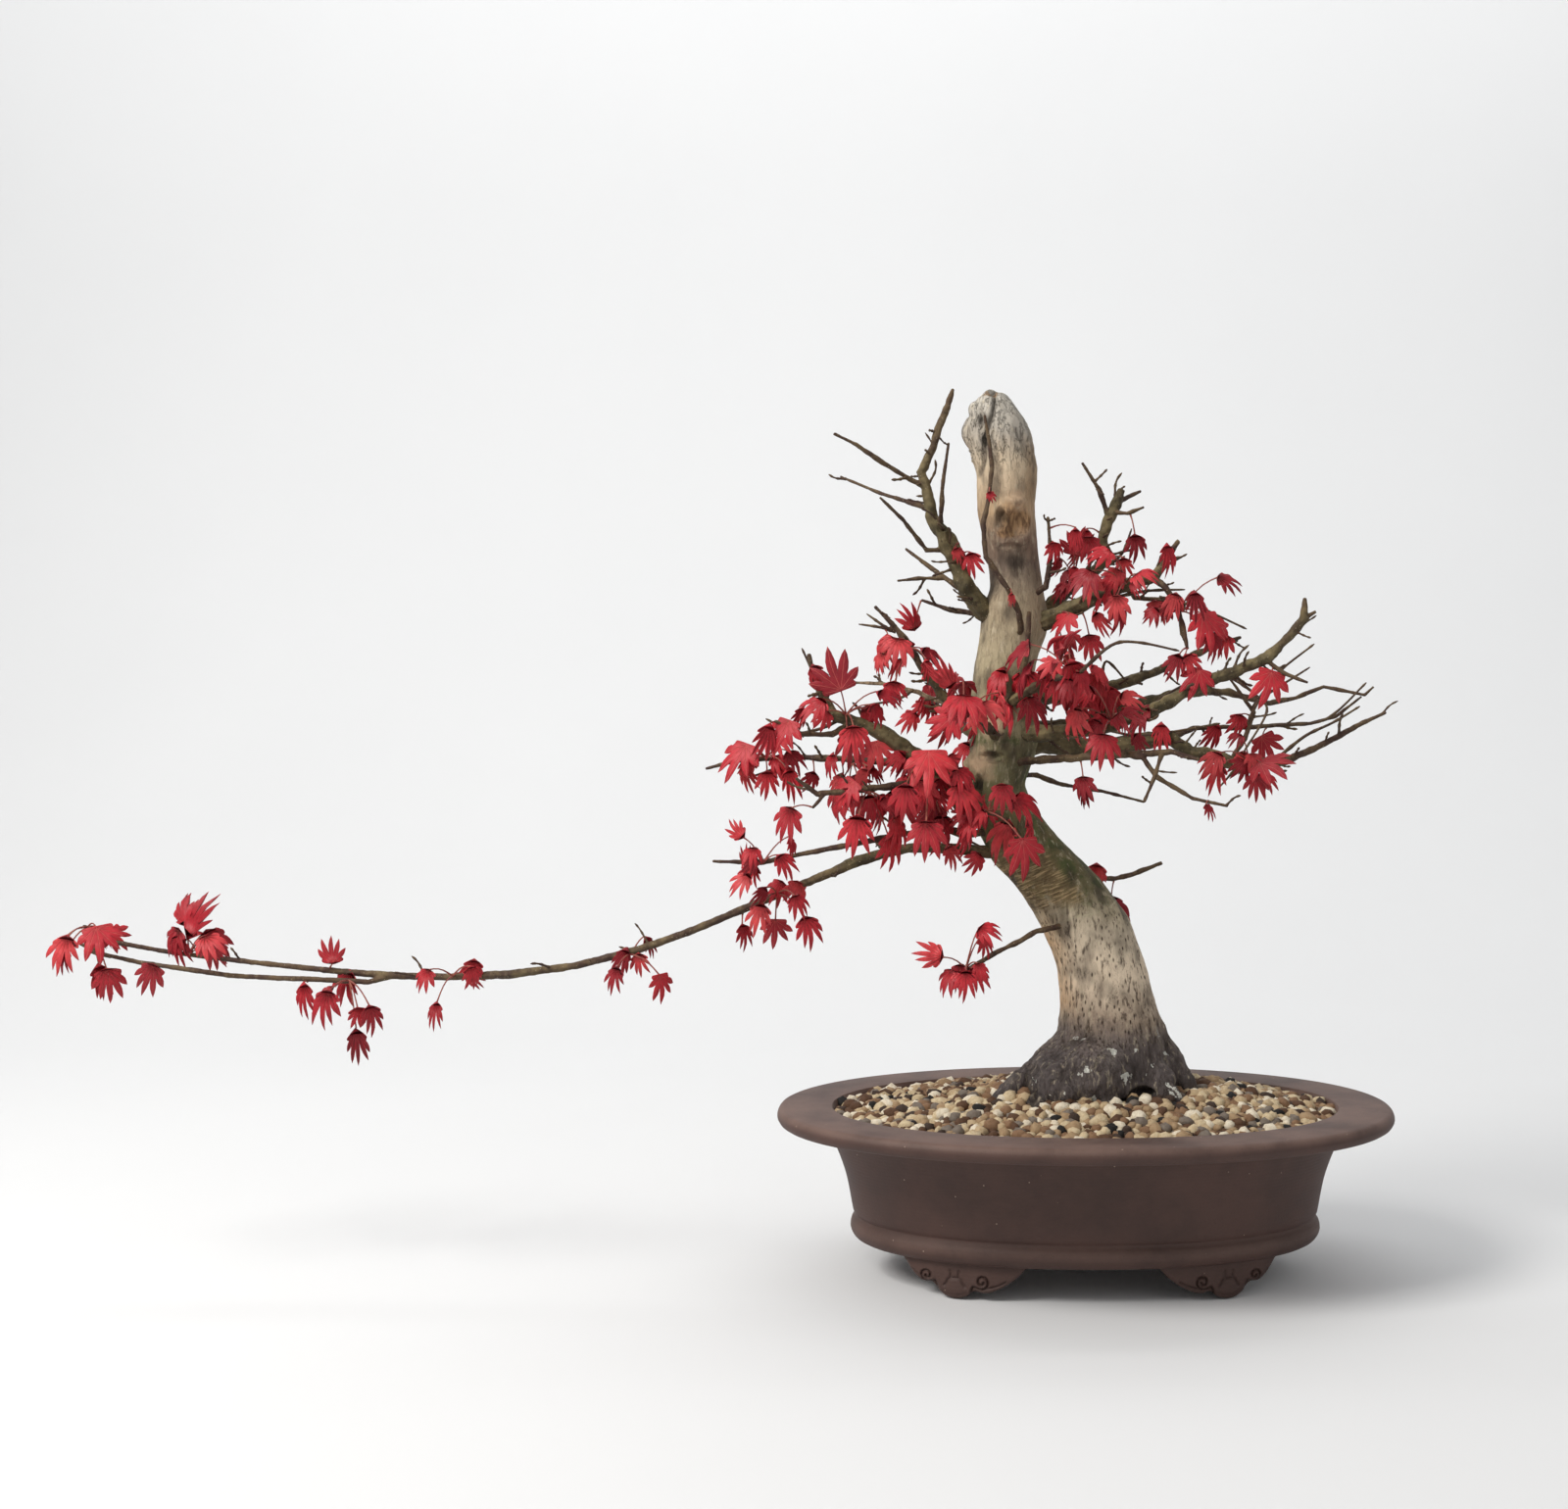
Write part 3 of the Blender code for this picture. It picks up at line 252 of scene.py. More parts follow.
class Finish:
    """A material made of nodes around one Principled shader."""

    def __init__(self, name, **uniform):
        self.material = bpy.data.materials.new(name)
        self.material.use_nodes = True
        self.tree = self.material.node_tree
        self.shader = self.tree.nodes["Principled BSDF"]
        for socket, value in uniform.items():
            self.shader.inputs[socket.replace("_", " ")].default_value = value

    def node(self, kind, settings=None, inputs=None, output=0):
        made = self.tree.nodes.new(kind)
        for name, value in (settings or {}).items():
            if name == "stops":
                while len(made.color_ramp.elements) < len(value):
                    made.color_ramp.elements.new(1.0)
                for stop, (place, colour) in zip(made.color_ramp.elements, value):
                    stop.position = place
                    stop.color = colour
            elif name == "steps":
                made.color_ramp.interpolation = value
            else:
                setattr(made, name, value)
        for place, value in (inputs or {}).items():
            self.plug(value, made.inputs[place])
        return Signal(self, made.outputs[output])

    def plug(self, value, socket):
        if isinstance(value, Signal):
            self.tree.links.new(value.socket, socket)
        else:
            socket.default_value = value

    def place(self):
        """Where a point of the surface is, in metres."""
        return self.node("ShaderNodeTexCoord", output="Object")

    def split(self, vector):
        return [self.node("ShaderNodeSeparateXYZ", {}, {0: vector}, output=k) for k in range(3)]

    def stretched(self, scale, shift=(0, 0, 0)):
        return self.node("ShaderNodeMapping", {}, {"Vector": self.place(), "Scale": scale, "Location": shift})

    def grain(self, size, detail=3.0, rough=0.5, scale=(1, 1, 1), shift=(0, 0, 0)):
        """Cloudy noise from 0 to 1, whose patches are about this many metres across."""
        inputs = {"Vector": self.stretched(scale, shift), "Scale": 1 / size}
        inputs |= {"Detail": detail, "Roughness": rough}
        return self.node("ShaderNodeTexNoise", {}, inputs)

    def cells(self, size, scale=(1, 1, 1)):
        """Distance to the nearest of scattered points, which are this many metres apart."""
        inputs = {"Vector": self.stretched(scale), "Scale": 1 / size}
        return self.node("ShaderNodeTexVoronoi", {}, inputs, output="Distance")

    def attribute(self, name):
        return self.node("ShaderNodeAttribute", {"attribute_name": name}, output="Fac")

    def ramp(self, factor, stops, steps="LINEAR"):
        return self.node("ShaderNodeValToRGB", {"steps": steps, "stops": stops}, {0: factor})

    def mix(self, factor, first, second, blend="MIX"):
        return self.node("ShaderNodeMix", {"data_type": "RGBA", "blend_type": blend},
                         {0: factor, 6: first, 7: second}, output=2)

    def relief(self, height, distance):
        """Bump: height 1 stands this many metres above height 0."""
        bump = self.node("ShaderNodeBump", {}, {"Height": height, "Distance": distance, "Strength": 1.0})
        self.plug(bump, self.shader.inputs["Normal"])

    def colour(self, value):
        self.plug(value, self.shader.inputs["Base Color"])

    def roughness(self, value):
        self.plug(value, self.shader.inputs["Roughness"])


def tone(red, green, blue):
    """A colour named by its three values on a screen, 0 to 255, as the light that a shader wants."""
    parts = [part / 255 for part in (red, green, blue)]
    light = [part / 12.92 if part <= 0.04045 else ((part + 0.055) / 1.055) ** 2.4 for part in parts]
    return (*light, 1.0)


def dress(piece, finish, slot, *stands_for):
    """Gives a new piece its finish and its place on the object. The slot is not used."""
    piece.data.materials.clear()
    piece.data.materials.append(finish.material)
    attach(piece, "root")
    if stands_for:
        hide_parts(*stands_for)
    print(f"{piece.name}: {triangles_in(piece)} triangles")


# %% [markdown]
# ## The camera and the studio
# The tree is looked at level and from the front, from a metre and a half away, with the camera left of the
# pot so that the long branch is in view. The light is a wide soft box high on the left, a weak one on the
# right and one over the backdrop, with a pale room all round.

# %% Camera
pot_low, pot_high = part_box("pot")
POT_X = (pot_low.x + pot_high.x) / 2
camera_data = bpy.data.cameras.new("camera")
camera_data.lens = 50.0
camera_data.sensor_width = 36.0
camera_data.shift_x = -0.106875
camera_data.shift_y = -0.0375
camera_data.clip_end = 50.0
camera = bpy.data.objects.new("camera", camera_data)
camera.location = (POT_X - 0.091, -1.493, 0.3915)
camera.rotation_euler = (math.radians(90), 0, 0)
bpy.context.scene.collection.objects.link(camera)
bpy.context.scene.camera = camera
bpy.context.scene.view_settings.view_transform = "Standard"
print("camera at", tuple(round(part, 3) for part in camera.location))

# %% Light
def soft_box(name, place, target, size, power, colour=(1, 1, 1)):
    data = bpy.data.lights.new(name, "AREA")
    data.shape = "RECTANGLE"
    data.size, data.size_y = size
    data.energy = power
    data.color = colour
    lamp = bpy.data.objects.new(name, data)
    lamp.location = place
    lamp.rotation_euler = (Vector(target) - Vector(place)).to_track_quat("-Z", "Y").to_euler()
    bpy.context.scene.collection.objects.link(lamp)
    return lamp


soft_box("key_light", (-1.25, -1.0, 1.75), (0.2, 0, 0.25), (1.0, 0.9), 40, (1.0, 0.97, 0.93))
soft_box("fill_light", (1.9, -1.4, 1.0), (0.2, 0, 0.3), (1.4, 1.4), 2.5)
soft_box("back_light", (0.1, 0.9, 2.6), (0.1, 2.4, 0.6), (4.0, 0.8), 27)
world = bpy.data.worlds.new("room")
world.use_nodes = True
world.node_tree.nodes["Background"].inputs["Color"].default_value = (1.0, 1.0, 1.0, 1)
world.node_tree.nodes["Background"].inputs["Strength"].default_value = 0.44
bpy.context.scene.world = world
print("three soft boxes and a pale room")

# %% Floor that sweeps up into the backdrop
PAPER_SIZE = (9, 5, 1)
PAPER_BACK, PAPER_RISE, PAPER_CURVE = 1.5, 4, 1.2


def make_floor():
    bpy.ops.mesh.primitive_plane_add(size=1, location=(0.1, -0.4, -0.0005))
    floor = added("floor")
    floor.scale = PAPER_SIZE
    settle(floor)
    edit(floor)
    pick(floor, lambda co: co.y > PAPER_BACK)
    bpy.ops.mesh.extrude_region_move(TRANSFORM_OT_translate={"value": (0, 0, PAPER_RISE)})
    pick(floor, lambda co: co.y > PAPER_BACK and co.z < 0.1, "EDGE")
    bpy.ops.mesh.bevel(offset=PAPER_CURVE, segments=16, affect="EDGES")
    bpy.ops.object.mode_set(mode="OBJECT")
    smooth(floor)
    paper = Finish("studio_paper", Roughness=0.9, Specular_IOR_Level=0.2)
    paper.colour(paper.mix(paper.grain(0.4), tone(234, 235, 236), tone(230, 231, 232)))
    floor.data.materials.append(paper.material)
    print("floor:", len(floor.data.polygons), "faces")


make_floor()

# %% [markdown]
# ## The pot
# The real pot is thrown or pressed clay, fired without a glaze: a wide oval lip, a wall that curves in
# under it, a rounded belt, and four cloud feet. A ring of vertices bent to the oval is extruded up the
# outside, over the lip and down the inside, which is how a potter's profile is drawn. The profile repeats
# the measured one.

# %% The pot's measures
POT_LENGTH = pot_high.x - pot_low.x
POT_DEPTH = pot_high.y - pot_low.y
RIM = pot_high.z
FOOT = 0.023
BELT = 0.016
LIP = 0.013
LIP_WIDTH = 0.038
WALL = 0.010
BASE = 0.012
OVAL = 2.12
POT_SIDES = 144
DRAIN_HOLE = 0.028
TIE_HOLE = 0.005
TIE_PLACE = 0.042
TIE_SPREAD = 0.044
UNDER_LIP = RIM - LIP
BELT_TOP = FOOT + BELT
RISE = UNDER_LIP - BELT_TOP
DEEP = RIM - FOOT - BASE
OUTSIDE = [
    (0.061, FOOT), (0.0548, FOOT + 0.0006), (0.0515, FOOT + BELT * 0.2), (0.0498, FOOT + BELT * 0.47),
    (0.0506, FOOT + BELT * 0.75), (0.0527, BELT_TOP - 0.0012), (0.0530, BELT_TOP + 0.0008),
    (0.0515, BELT_TOP + 0.003), (0.0496, BELT_TOP + RISE * 0.22), (0.0472, BELT_TOP + RISE * 0.42),
    (0.0441, BELT_TOP + RISE * 0.59),
    (0.0401, BELT_TOP + RISE * 0.76), (0.0350, UNDER_LIP - 0.0035), (0.0290, UNDER_LIP - 0.0008),
    (0.0120, UNDER_LIP + 0.0008), (0.0035, UNDER_LIP + 0.0022), (0.0008, UNDER_LIP + LIP * 0.36),
    (0, UNDER_LIP + LIP * 0.55), (0.0004, RIM - LIP * 0.26), (0.0018, RIM - 0.0010), (0.0044, RIM),
]
INSIDE = [
    (LIP_WIDTH * 0.55, RIM - 0.0003), (LIP_WIDTH - 0.0026, RIM - 0.0001), (LIP_WIDTH - 0.0006, RIM - 0.0010),
    (LIP_WIDTH + 0.0004, RIM - 0.0034), (0.037 + WALL, RIM - DEEP * 0.28),
    (0.044 + WALL, RIM - DEEP * 0.60), (0.050 + WALL, RIM - DEEP + 0.006), (0.056 + WALL, RIM - DEEP),
]
print(f"pot {POT_LENGTH:.3f} x {POT_DEPTH:.3f} x {RIM:.3f} m")


# %% The oval
def half_axes(offset):
    return POT_LENGTH / 2 - offset, POT_DEPTH / 2 - offset


def oval_depth(offset, across):
    """How far from the middle an oval runs, at a place along its length."""
    long, deep = half_axes(offset)
    return deep * (1 - min(abs(across) / long, 1) ** OVAL) ** (1 / OVAL)


def between_rings(rings, steps):
    """The profile with more rings, on a smooth curve through the given ones."""
    filled = []
    ends = [rings[0], *rings, rings[-1]]
    for k in range(1, len(ends) - 2):
        before, start, end, after = (np.array(ends[k + j]) for j in (-1, 0, 1, 2))
        for step in range(steps):
            t = step / steps
            bend = 0.5 * (2 * start + (end - before) * t + (2 * before - 5 * start + 4 * end - after) * t**2
                          + (3 * start - before - 3 * end + after) * t**3)
            filled.append(tuple(bend))
    return [*filled, rings[-1]]


def bend_to_oval(piece, offset):
    """Bends a round ring of vertices to the pot's oval."""
    long, deep = half_axes(offset)
    co = points_of(piece)
    turn = np.arctan2(co[:, 1], co[:, 0] - POT_X)
    across, along = np.cos(turn), np.sin(turn)
    co[:, 0] = POT_X + np.sign(across) * np.abs(across) ** (2 / OVAL) * long
    co[:, 1] = np.sign(along) * np.abs(along) ** (2 / OVAL) * deep
    move_points(piece, co)


# %% The pot's body
def make_pot_body():
    profile = between_rings(OUTSIDE, 2) + between_rings(INSIDE, 2)
    first_offset, first_height = profile[0]
    bpy.ops.mesh.primitive_circle_add(vertices=POT_SIDES, radius=0.1, location=(POT_X, 0, first_height))
    body = added("pot_body")
    settle(body)
    bend_to_oval(body, first_offset)
    edit(body)
    bpy.ops.mesh.select_all(action="SELECT")
    bpy.ops.mesh.select_mode(type="EDGE")
    for (offset, height), (next_offset, next_height) in zip(profile, profile[1:]):
        long, deep = half_axes(offset)
        next_long, next_deep = half_axes(next_offset)
        bpy.ops.mesh.extrude_edges_move(TRANSFORM_OT_translate={"value": (0, 0, next_height - height)})
        bpy.ops.transform.resize(
            value=(next_long / long, next_deep / deep, 1), center_override=(POT_X, 0, next_height))
    bpy.ops.mesh.edge_face_add()
    pick(body, lambda co: abs(co.z - first_height) < 1e-6)
    bpy.ops.mesh.edge_face_add()
    bpy.ops.mesh.select_all(action="SELECT")
    bpy.ops.mesh.normals_make_consistent(inside=False)
    bpy.ops.object.mode_set(mode="OBJECT")
    return body


def bore(body, place, diameter):
    """Cuts a round hole through the pot's floor."""
    bpy.ops.mesh.primitive_cylinder_add(
        vertices=32, radius=diameter / 2, depth=BASE + 0.01, location=(place[0], place[1], FOOT + BASE / 2))
    drill = added("drill")
    settle(drill)
    use(body, "BOOLEAN", object=drill, operation="DIFFERENCE", solver="EXACT")
    bpy.data.objects.remove(drill)


pot_body = make_pot_body()
for side in ("left", "right"):
    low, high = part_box("drain_screen_" + side)
    bore(pot_body, ((low.x + high.x) / 2, 0), DRAIN_HOLE)
    bored = POT_X + (TIE_PLACE if side == "right" else -TIE_PLACE)
    for end in (-1, 1):
        bore(pot_body, (bored, end * TIE_SPREAD / 2), TIE_HOLE)
    print(side, "drain at", round((low.x + high.x) / 2, 3), "and its tie holes at", round(bored, 3))
print("pot body:", triangles_in(pot_body), "triangles")

# %% [markdown]
# ## The cloud feet
# Each foot is a slab that follows the oval, cut along its lower edge into a cloud of lobes, with a scroll
# carved on either side and a barred sign between them. A grid is drawn over the cloud's outline, so the
# edge is smooth, then pulled back into thickness, and the carving is pressed into its face.

# %% The cloud's outline and its scrolls
FOOT_PLACE = 0.089
FOOT_SETBACK = 0.0572
FOOT_THICK = 0.0172
LOBES = [
    (-34, 1.0), (-31, 0.82), (-27, 0.58), (-23, 0.44), (-19, 0.38), (-15, 0.40), (-13, 0.40), (-12.2, 0.30),
    (-10, 0.18), (-8, 0.10), (-4, 0.02), (0, 0), (4, 0.02), (8, 0.09), (10.5, 0.18), (12.4, 0.28), (14, 0.27),
    (18, 0.21), (23, 0.24), (30, 0.38), (36, 0.55), (42, 0.76), (46, 1.0),
]


def cloud_edge(step):
    """The height of the foot's lower edge, as a share of the foot, at a step in mm along it."""
    near_steps = [step + shift for shift in (-1.6, -0.8, 0, 0.8, 1.6)]
    return float(np.mean(np.interp(near_steps, *zip(*LOBES))))


def scroll(centre, radius, start, turns, tail):
    """A curl that winds out from its middle and then runs on along its tail."""
    line = []
    for k in range(int(26 * abs(turns)) + 1):
        share = k / (26 * abs(turns))
        turn = math.radians(start) + 2 * math.pi * turns * (share - 1)
        reach = radius * (0.22 + 0.78 * share)
        line.append((centre[0] + reach * math.cos(turn), centre[1] + reach * math.sin(turn)))
    return line + tail


# The depth and the line of each cut, in mm.
CARVING = [
    (2.0, scroll((-18.0, 13.6), 4.4, -60, 1.3, [(-12.8, 10.6), (-11.4, 8.2), (-10.6, 6.0)])),
    (2.0, scroll((17.6, 12.4), 4.9, -118, -1.3, [(12.0, 9.0), (10.9, 7.0), (10.5, 4.8)])),
    (1.3, [(19.5, 8.0), (23.5, 9.0), (28, 10.4), (33, 13.2)]),
    (1.1, [(-20, 10.8), (-24, 13.0), (-27, 15.6)]),
    (1.0, [(-2.8, 18.4), (-2.4, 15.6), (-3.0, 13.4)]),
    (1.0, [(2.8, 18.4), (2.4, 15.6), (3.0, 13.4)]),
    (1.2, [(-6.6, 8.6), (-5.2, 10.0), (-4.4, 12.2), (-2.6, 13.6), (2.6, 13.6),
           (4.4, 12.2), (5.2, 10.0), (6.6, 8.6)]),
    (0.6, [(-7.4, 4.6), (-3.6, 3.0), (0, 2.6), (3.6, 3.0), (7.4, 4.6)]),
]
GROOVE, EDGE_ROUND, FAR_BACK = 0.8, 2.6, 1000
# The puffs of the cloud: lift, place along and up the foot, and reach along and up, in mm.
PUFFS = [(0.9, -17, 14, 5, 5), (1.0, 16.5, 11, 6, 5), (0.9, 0, 5, 7, 5)]


# %% One foot, carved
def to_line(point, line):
    """The distance in mm from each point to a drawn line."""
    best = np.full(len(point), 1e9)
    for start, end in zip(line, line[1:]):
        start, run = np.array(start), np.array(end) - np.array(start)
        share = np.clip(((point - start) @ run) / max(run @ run, 1e-9), 0, 1)
        best = np.minimum(best, np.linalg.norm(point - start - share[:, None] * run, axis=1))
    return best


def make_foot(side_x, side_y):
    bpy.ops.mesh.primitive_grid_add(x_subdivisions=150, y_subdivisions=40, size=1)
    foot = added("foot")
    co = points_of(foot)
    step = LOBES[0][0] + (co[:, 0] + 0.5) * (LOBES[-1][0] - LOBES[0][0])
    low = np.array([cloud_edge(value) for value in step]) * FOOT / MM
    top = (FOOT + 0.004) / MM
    high = low + (top - low) * (co[:, 1] + 0.5)
    carved = np.zeros(len(co))
    for depth, line in CARVING:
        carved = np.maximum(carved, depth * np.exp(-((to_line(np.c_[step, high], line) / GROOVE) ** 2)))
    puff = sum(lift * np.exp(-(((step - x) / long) ** 2 + ((high - z) / tall) ** 2))
               for lift, x, z, long, tall in PUFFS)
    rim = np.minimum(high - low, np.minimum(step - LOBES[0][0], LOBES[-1][0] - step) * 0.8)
    rounded = 2.0 * (1 - np.clip(rim / EDGE_ROUND, 0, 1)) ** 2
    inset = carved - puff + rounded
    move_points(foot, np.c_[step, inset, high])
    # The carving's depth, which the clay finish darkens in the grooves as dust and painted shade.
    paint(foot, "cut", np.clip(carved / 2.2, 0, 1))
    edit(foot)
    bpy.ops.mesh.select_all(action="SELECT")
    bpy.ops.mesh.extrude_region_move(TRANSFORM_OT_translate={"value": (0, FAR_BACK, 0)})
    bpy.ops.object.mode_set(mode="OBJECT")
    co = points_of(foot)
    behind = co[:, 1] > FAR_BACK / 2
    co[behind, 1] = FOOT_THICK / MM - 0.4
    across = FOOT_PLACE - co[:, 0] * MM
    depth = np.array([oval_depth(FOOT_SETBACK + inset * MM, value) for inset, value in zip(co[:, 1], across)])
    move_points(foot, np.c_[POT_X + side_x * across, side_y * depth, co[:, 2] * MM])
    edit(foot)
    bpy.ops.mesh.select_all(action="SELECT")
    bpy.ops.mesh.normals_make_consistent(inside=False)
    bpy.ops.object.mode_set(mode="OBJECT")
    return foot


feet = [make_foot(x, y) for x in (-1, 1) for y in (-1, 1)]
print("each foot:", triangles_in(feet[0]), "triangles")

# %% [markdown]
# ## Unglazed clay
# Brown stoneware burnished by hand: a slightly uneven brown, finer and darker specks of sand, pale grains
# here and there, and faint lines round the wall from the potter's rib. It is matt. The lip and belt are
# painted lighter, partly as wear and partly as a painted highlight.

# %% The clay finish
def make_clay():
    clay = Finish("unglazed_clay", Roughness=0.6, Specular_IOR_Level=0.42)
    height = clay.split(clay.place())[2]
    cloud = clay.grain(0.05, 4, 0.6)
    fine = clay.grain(0.0016, 3, 0.7)
    sand = clay.cells(0.0021)
    fleck = clay.cells(0.011)
    body = clay.mix(cloud.between(0.3, 0.7), tone(66, 46, 40), tone(80, 57, 50))
    # Lighter lip top and belt: partly edge wear, partly a painted highlight where the light falls.
    wear_and_highlight = (height.between(RIM - 0.006, RIM - 0.001) * 0.8 + height.between(FOOT + 0.004, FOOT + 0.010)
            * (1 - height.between(FOOT + 0.011, FOOT + 0.018)) * 0.35) * cloud.between(0.15, 0.8)
    body = clay.mix(wear_and_highlight, body, tone(122, 98, 88))
    # Painted shade: the feet are darkened towards the floor, where less light reaches.
    low = (1 - height.between(0.0, 0.018)) * 0.35
    body = clay.mix(low, body, tone(62, 44, 38))
    body = clay.mix((1 - sand.between(0.05, 0.22)) * 0.35, body, tone(50, 35, 30))
    body = clay.mix((1 - fleck.between(0.03, 0.055)) * 0.7, body, tone(176, 152, 134))
    # The carved grooves are darkened: partly dust, partly painted shade.
    body = clay.mix(clay.attribute("cut") * 0.45, body, tone(38, 26, 22))
    clay.colour(body)
    clay.roughness(0.50 + 0.16 * cloud + 0.1 * fine)
    rib = (height * 2600 + clay.grain(0.03, 1) * 5).sine()
    clay.relief(fine * 0.5 + sand.between(0.0, 0.3) * 0.35 + rib * 0.08, 0.00028)
    return clay


clay = make_clay()
only(pot_body, *feet)
bpy.ops.object.join()
smooth(pot_body, 50)
dress(pot_body, clay, "clay", "pot")

# %% [markdown]
# ## What lies in the pot
# Screens, clips, wires, the drainage layer and the soil keep their measured shapes, since they are hidden
# under the gravel and seen only through the drain holes. Each gets the finish of its real material.

# %% Finishes for the hidden fittings
def keep(finish, *nodes):
    for node in nodes:
        for slot in NODES[node].material_slots:
            slot.material = finish.material


def make_fitting_finishes():
    screen = Finish("screen_plastic", Roughness=0.5)
    wear = screen.grain(0.004, 3)
    screen.colour(screen.mix(wear, tone(34, 36, 35), tone(52, 54, 52)))
    screen.roughness(0.42 + 0.2 * wear)
    screen.relief(screen.grain(0.0006), 0.00005)
    wire = Finish("annealed_wire", Metallic=1.0, Roughness=0.4)
    drawn = wire.grain(0.002, 3, 0.6, (1, 1, 6))
    wire.colour(wire.mix(drawn, tone(132, 112, 92), tone(176, 158, 136)))
    wire.roughness(0.3 + 0.25 * drawn)
    wire.relief(drawn, 0.00004)
    pumice = Finish("pumice", Roughness=0.9)
    pore = pumice.cells(0.006)
    pumice.colour(pumice.mix(pore.between(0.1, 0.8), tone(198, 184, 160), tone(120, 104, 86)))
    pumice.relief(pore, 0.003)
    soil = Finish("potting_soil", Roughness=0.95)
    crumb = soil.cells(0.003)
    soil.colour(soil.mix(crumb.between(0.1, 0.8), tone(104, 78, 56), tone(46, 34, 26)))
    soil.relief(crumb, 0.0018)
    return screen, wire, pumice, soil


screen_finish, wire_finish, pumice_finish, soil_finish = make_fitting_finishes()
keep(screen_finish, "drain_screen_left", "drain_screen_right")
keep(wire_finish, "screen_clip_left", "screen_clip_right", "tie_wire_left", "tie_wire_right")
keep(pumice_finish, "drainage_layer")
keep(soil_finish, "soil")
print("fittings dressed")

# %% [markdown]
# ## The gravel
# The top dressing is river gravel, five to nine millimetres across, tan, cream, grey, brown and black. One
# grain is a cube subdivided and rounded, so it has only a few dozen faces. Six of them, each knocked out of
# round, are copied over the mound in two layers, thinner below. Where a copy would land inside a root it is
# left out.

# %% Six grains
GRAIN_SHAPES = 6
LOWEST_GRAIN = RIM - 0.0075
ROOT_CLEAR = 0.012


def make_grain(number):
    bpy.ops.mesh.primitive_cube_add(size=1)
    grain = added(f"grain_{number}")
    edit(grain)
    bpy.ops.mesh.subdivide(number_cuts=1)
    bpy.ops.transform.tosphere(value=0.97)
    bpy.ops.object.mode_set(mode="OBJECT")
    places = []
    for vertex in grain.data.vertices:
        knock = noise.noise(vertex.co * 1.7 + Vector((number * 7.3, 0, 0))) * 0.42
        places.append(vertex.co * (1 + knock))
    move_points(grain, places)
    smooth(grain)
    return grain


grains = [make_grain(number) for number in range(GRAIN_SHAPES)]
print("a grain has", len(grains[0].data.polygons), "faces")


# %% Copies of a shape, joined
def plant(name, copies):
    """Joins copies of shapes into one piece. Each copy is (shape, matrix, tint)."""
    made = []
    for shape, matrix, tint in copies:
        mesh = shape.data.copy()
        mesh.transform(matrix)
        layer = mesh.attributes.new("tint", "FLOAT", "POINT")
        layer.data.foreach_set("value", [tint] * len(mesh.vertices))
        copy = bpy.data.objects.new(name, mesh)
        bpy.context.scene.collection.objects.link(copy)
        made.append(copy)
    only(*made)
    bpy.ops.object.join()
    made[0].name = made[0].data.name = name
    return made[0]


# %% The grains over the mound
def gravel_places(pitch, sunk, size_range, seed):
    """Grains on a jittered triangular grid: place, turn, size and tint for each."""
    draw = random.Random(seed)
    low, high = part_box("gravel")
    row_pitch = pitch * math.sqrt(3) / 2
    found = []
    for row in range(int((high.y - low.y) / row_pitch) + 1):
        for column in range(int((high.x - low.x) / pitch) + 1):
            x = low.x + (column + 0.5 * (row % 2)) * pitch + draw.uniform(-0.3, 0.3) * pitch
            y = low.y + row * row_pitch + draw.uniform(-0.3, 0.3) * pitch
            size = draw.uniform(*size_range) * draw.choice((0.85, 1.0, 1.0, 1.12))
            lift = draw.uniform(-0.26, 0.26)
            tint = draw.random()
            turn = [draw.uniform(0, 2 * math.pi) for _ in range(3)]
            squash = (1.0, draw.uniform(0.68, 0.98), draw.uniform(0.62, 0.9))
            kind = draw.randrange(GRAIN_SHAPES)
            hit = mound.ray_cast(Vector((x, y, 1)), Vector((0, 0, -1)))
            if hit[0] is None or hit[0].z < LOWEST_GRAIN:
                continue
            above = trunk_solid.ray_cast(Vector((x, y, 1)), Vector((0, 0, -1)))
            middle = hit[0] + Vector((0, 0, size * (lift - sunk)))
            near = trunk_solid.find_nearest(middle)
            inside = (middle - near[0]).dot(near[1]) < size * 0.12
            if inside or (above[0] is not None and above[0].z > hit[0].z + ROOT_CLEAR and near[3] < size * 0.2):
                continue
            tilt = Matrix.Rotation(turn[0], 4, "Z") @ Matrix.Rotation(turn[1] * 0.12, 4, "X")
            matrix = Matrix.Translation(middle) @ tilt @ Matrix.Diagonal((*(size * part for part in squash), 1))
            found.append((grains[kind], matrix @ Matrix.Rotation(turn[2], 4, "Z"), tint))
    return found


trunk_solid = surface_of(copy_of("trunk", "trunk_guide"))
mound = surface_of(copy_of("gravel", "mound_guide"))
bpy.data.objects.remove(bpy.data.objects["trunk_guide"])
upper = gravel_places(0.0058, 0.12, (0.0056, 0.0086), 11)
lower = gravel_places(0.0060, 0.62, (0.0060, 0.0080), 12)
print(len(upper), "grains above,", len(lower), "below")


# %% The gravel finish and its dark bed
def make_gravel_finish():
    stone = Finish("river_gravel", Roughness=0.82, Specular_IOR_Level=0.3)
    kinds = [
        (0.00, tone(166, 140, 108)), (0.14, tone(208, 190, 156)), (0.30, tone(136, 106, 80)),
        (0.42, tone(230, 220, 198)), (0.55, tone(124, 114, 104)), (0.64, tone(92, 66, 48)),
        (0.78, tone(190, 168, 134)), (0.90, tone(66, 52, 44)), (0.95, tone(34, 32, 31)),
    ]
    base = stone.ramp(stone.attribute("tint"), kinds, "CONSTANT")
    mottle = stone.grain(0.0022, 3, 0.65)
    shaded = stone.mix(1.0, base, tone(190, 170, 150), "MULTIPLY")
    base = stone.mix(mottle.between(0.35, 0.75) * 0.5, base, shaded)
    speck = stone.cells(0.0011)
    base = stone.mix((1 - speck.between(0.08, 0.25)) * 0.3, base, tone(70, 58, 48))
    stone.colour(base)
    stone.roughness(0.68 + 0.25 * mottle)
    stone.relief(mottle + stone.grain(0.0006, 2) * 0.4, 0.0005)
    return stone


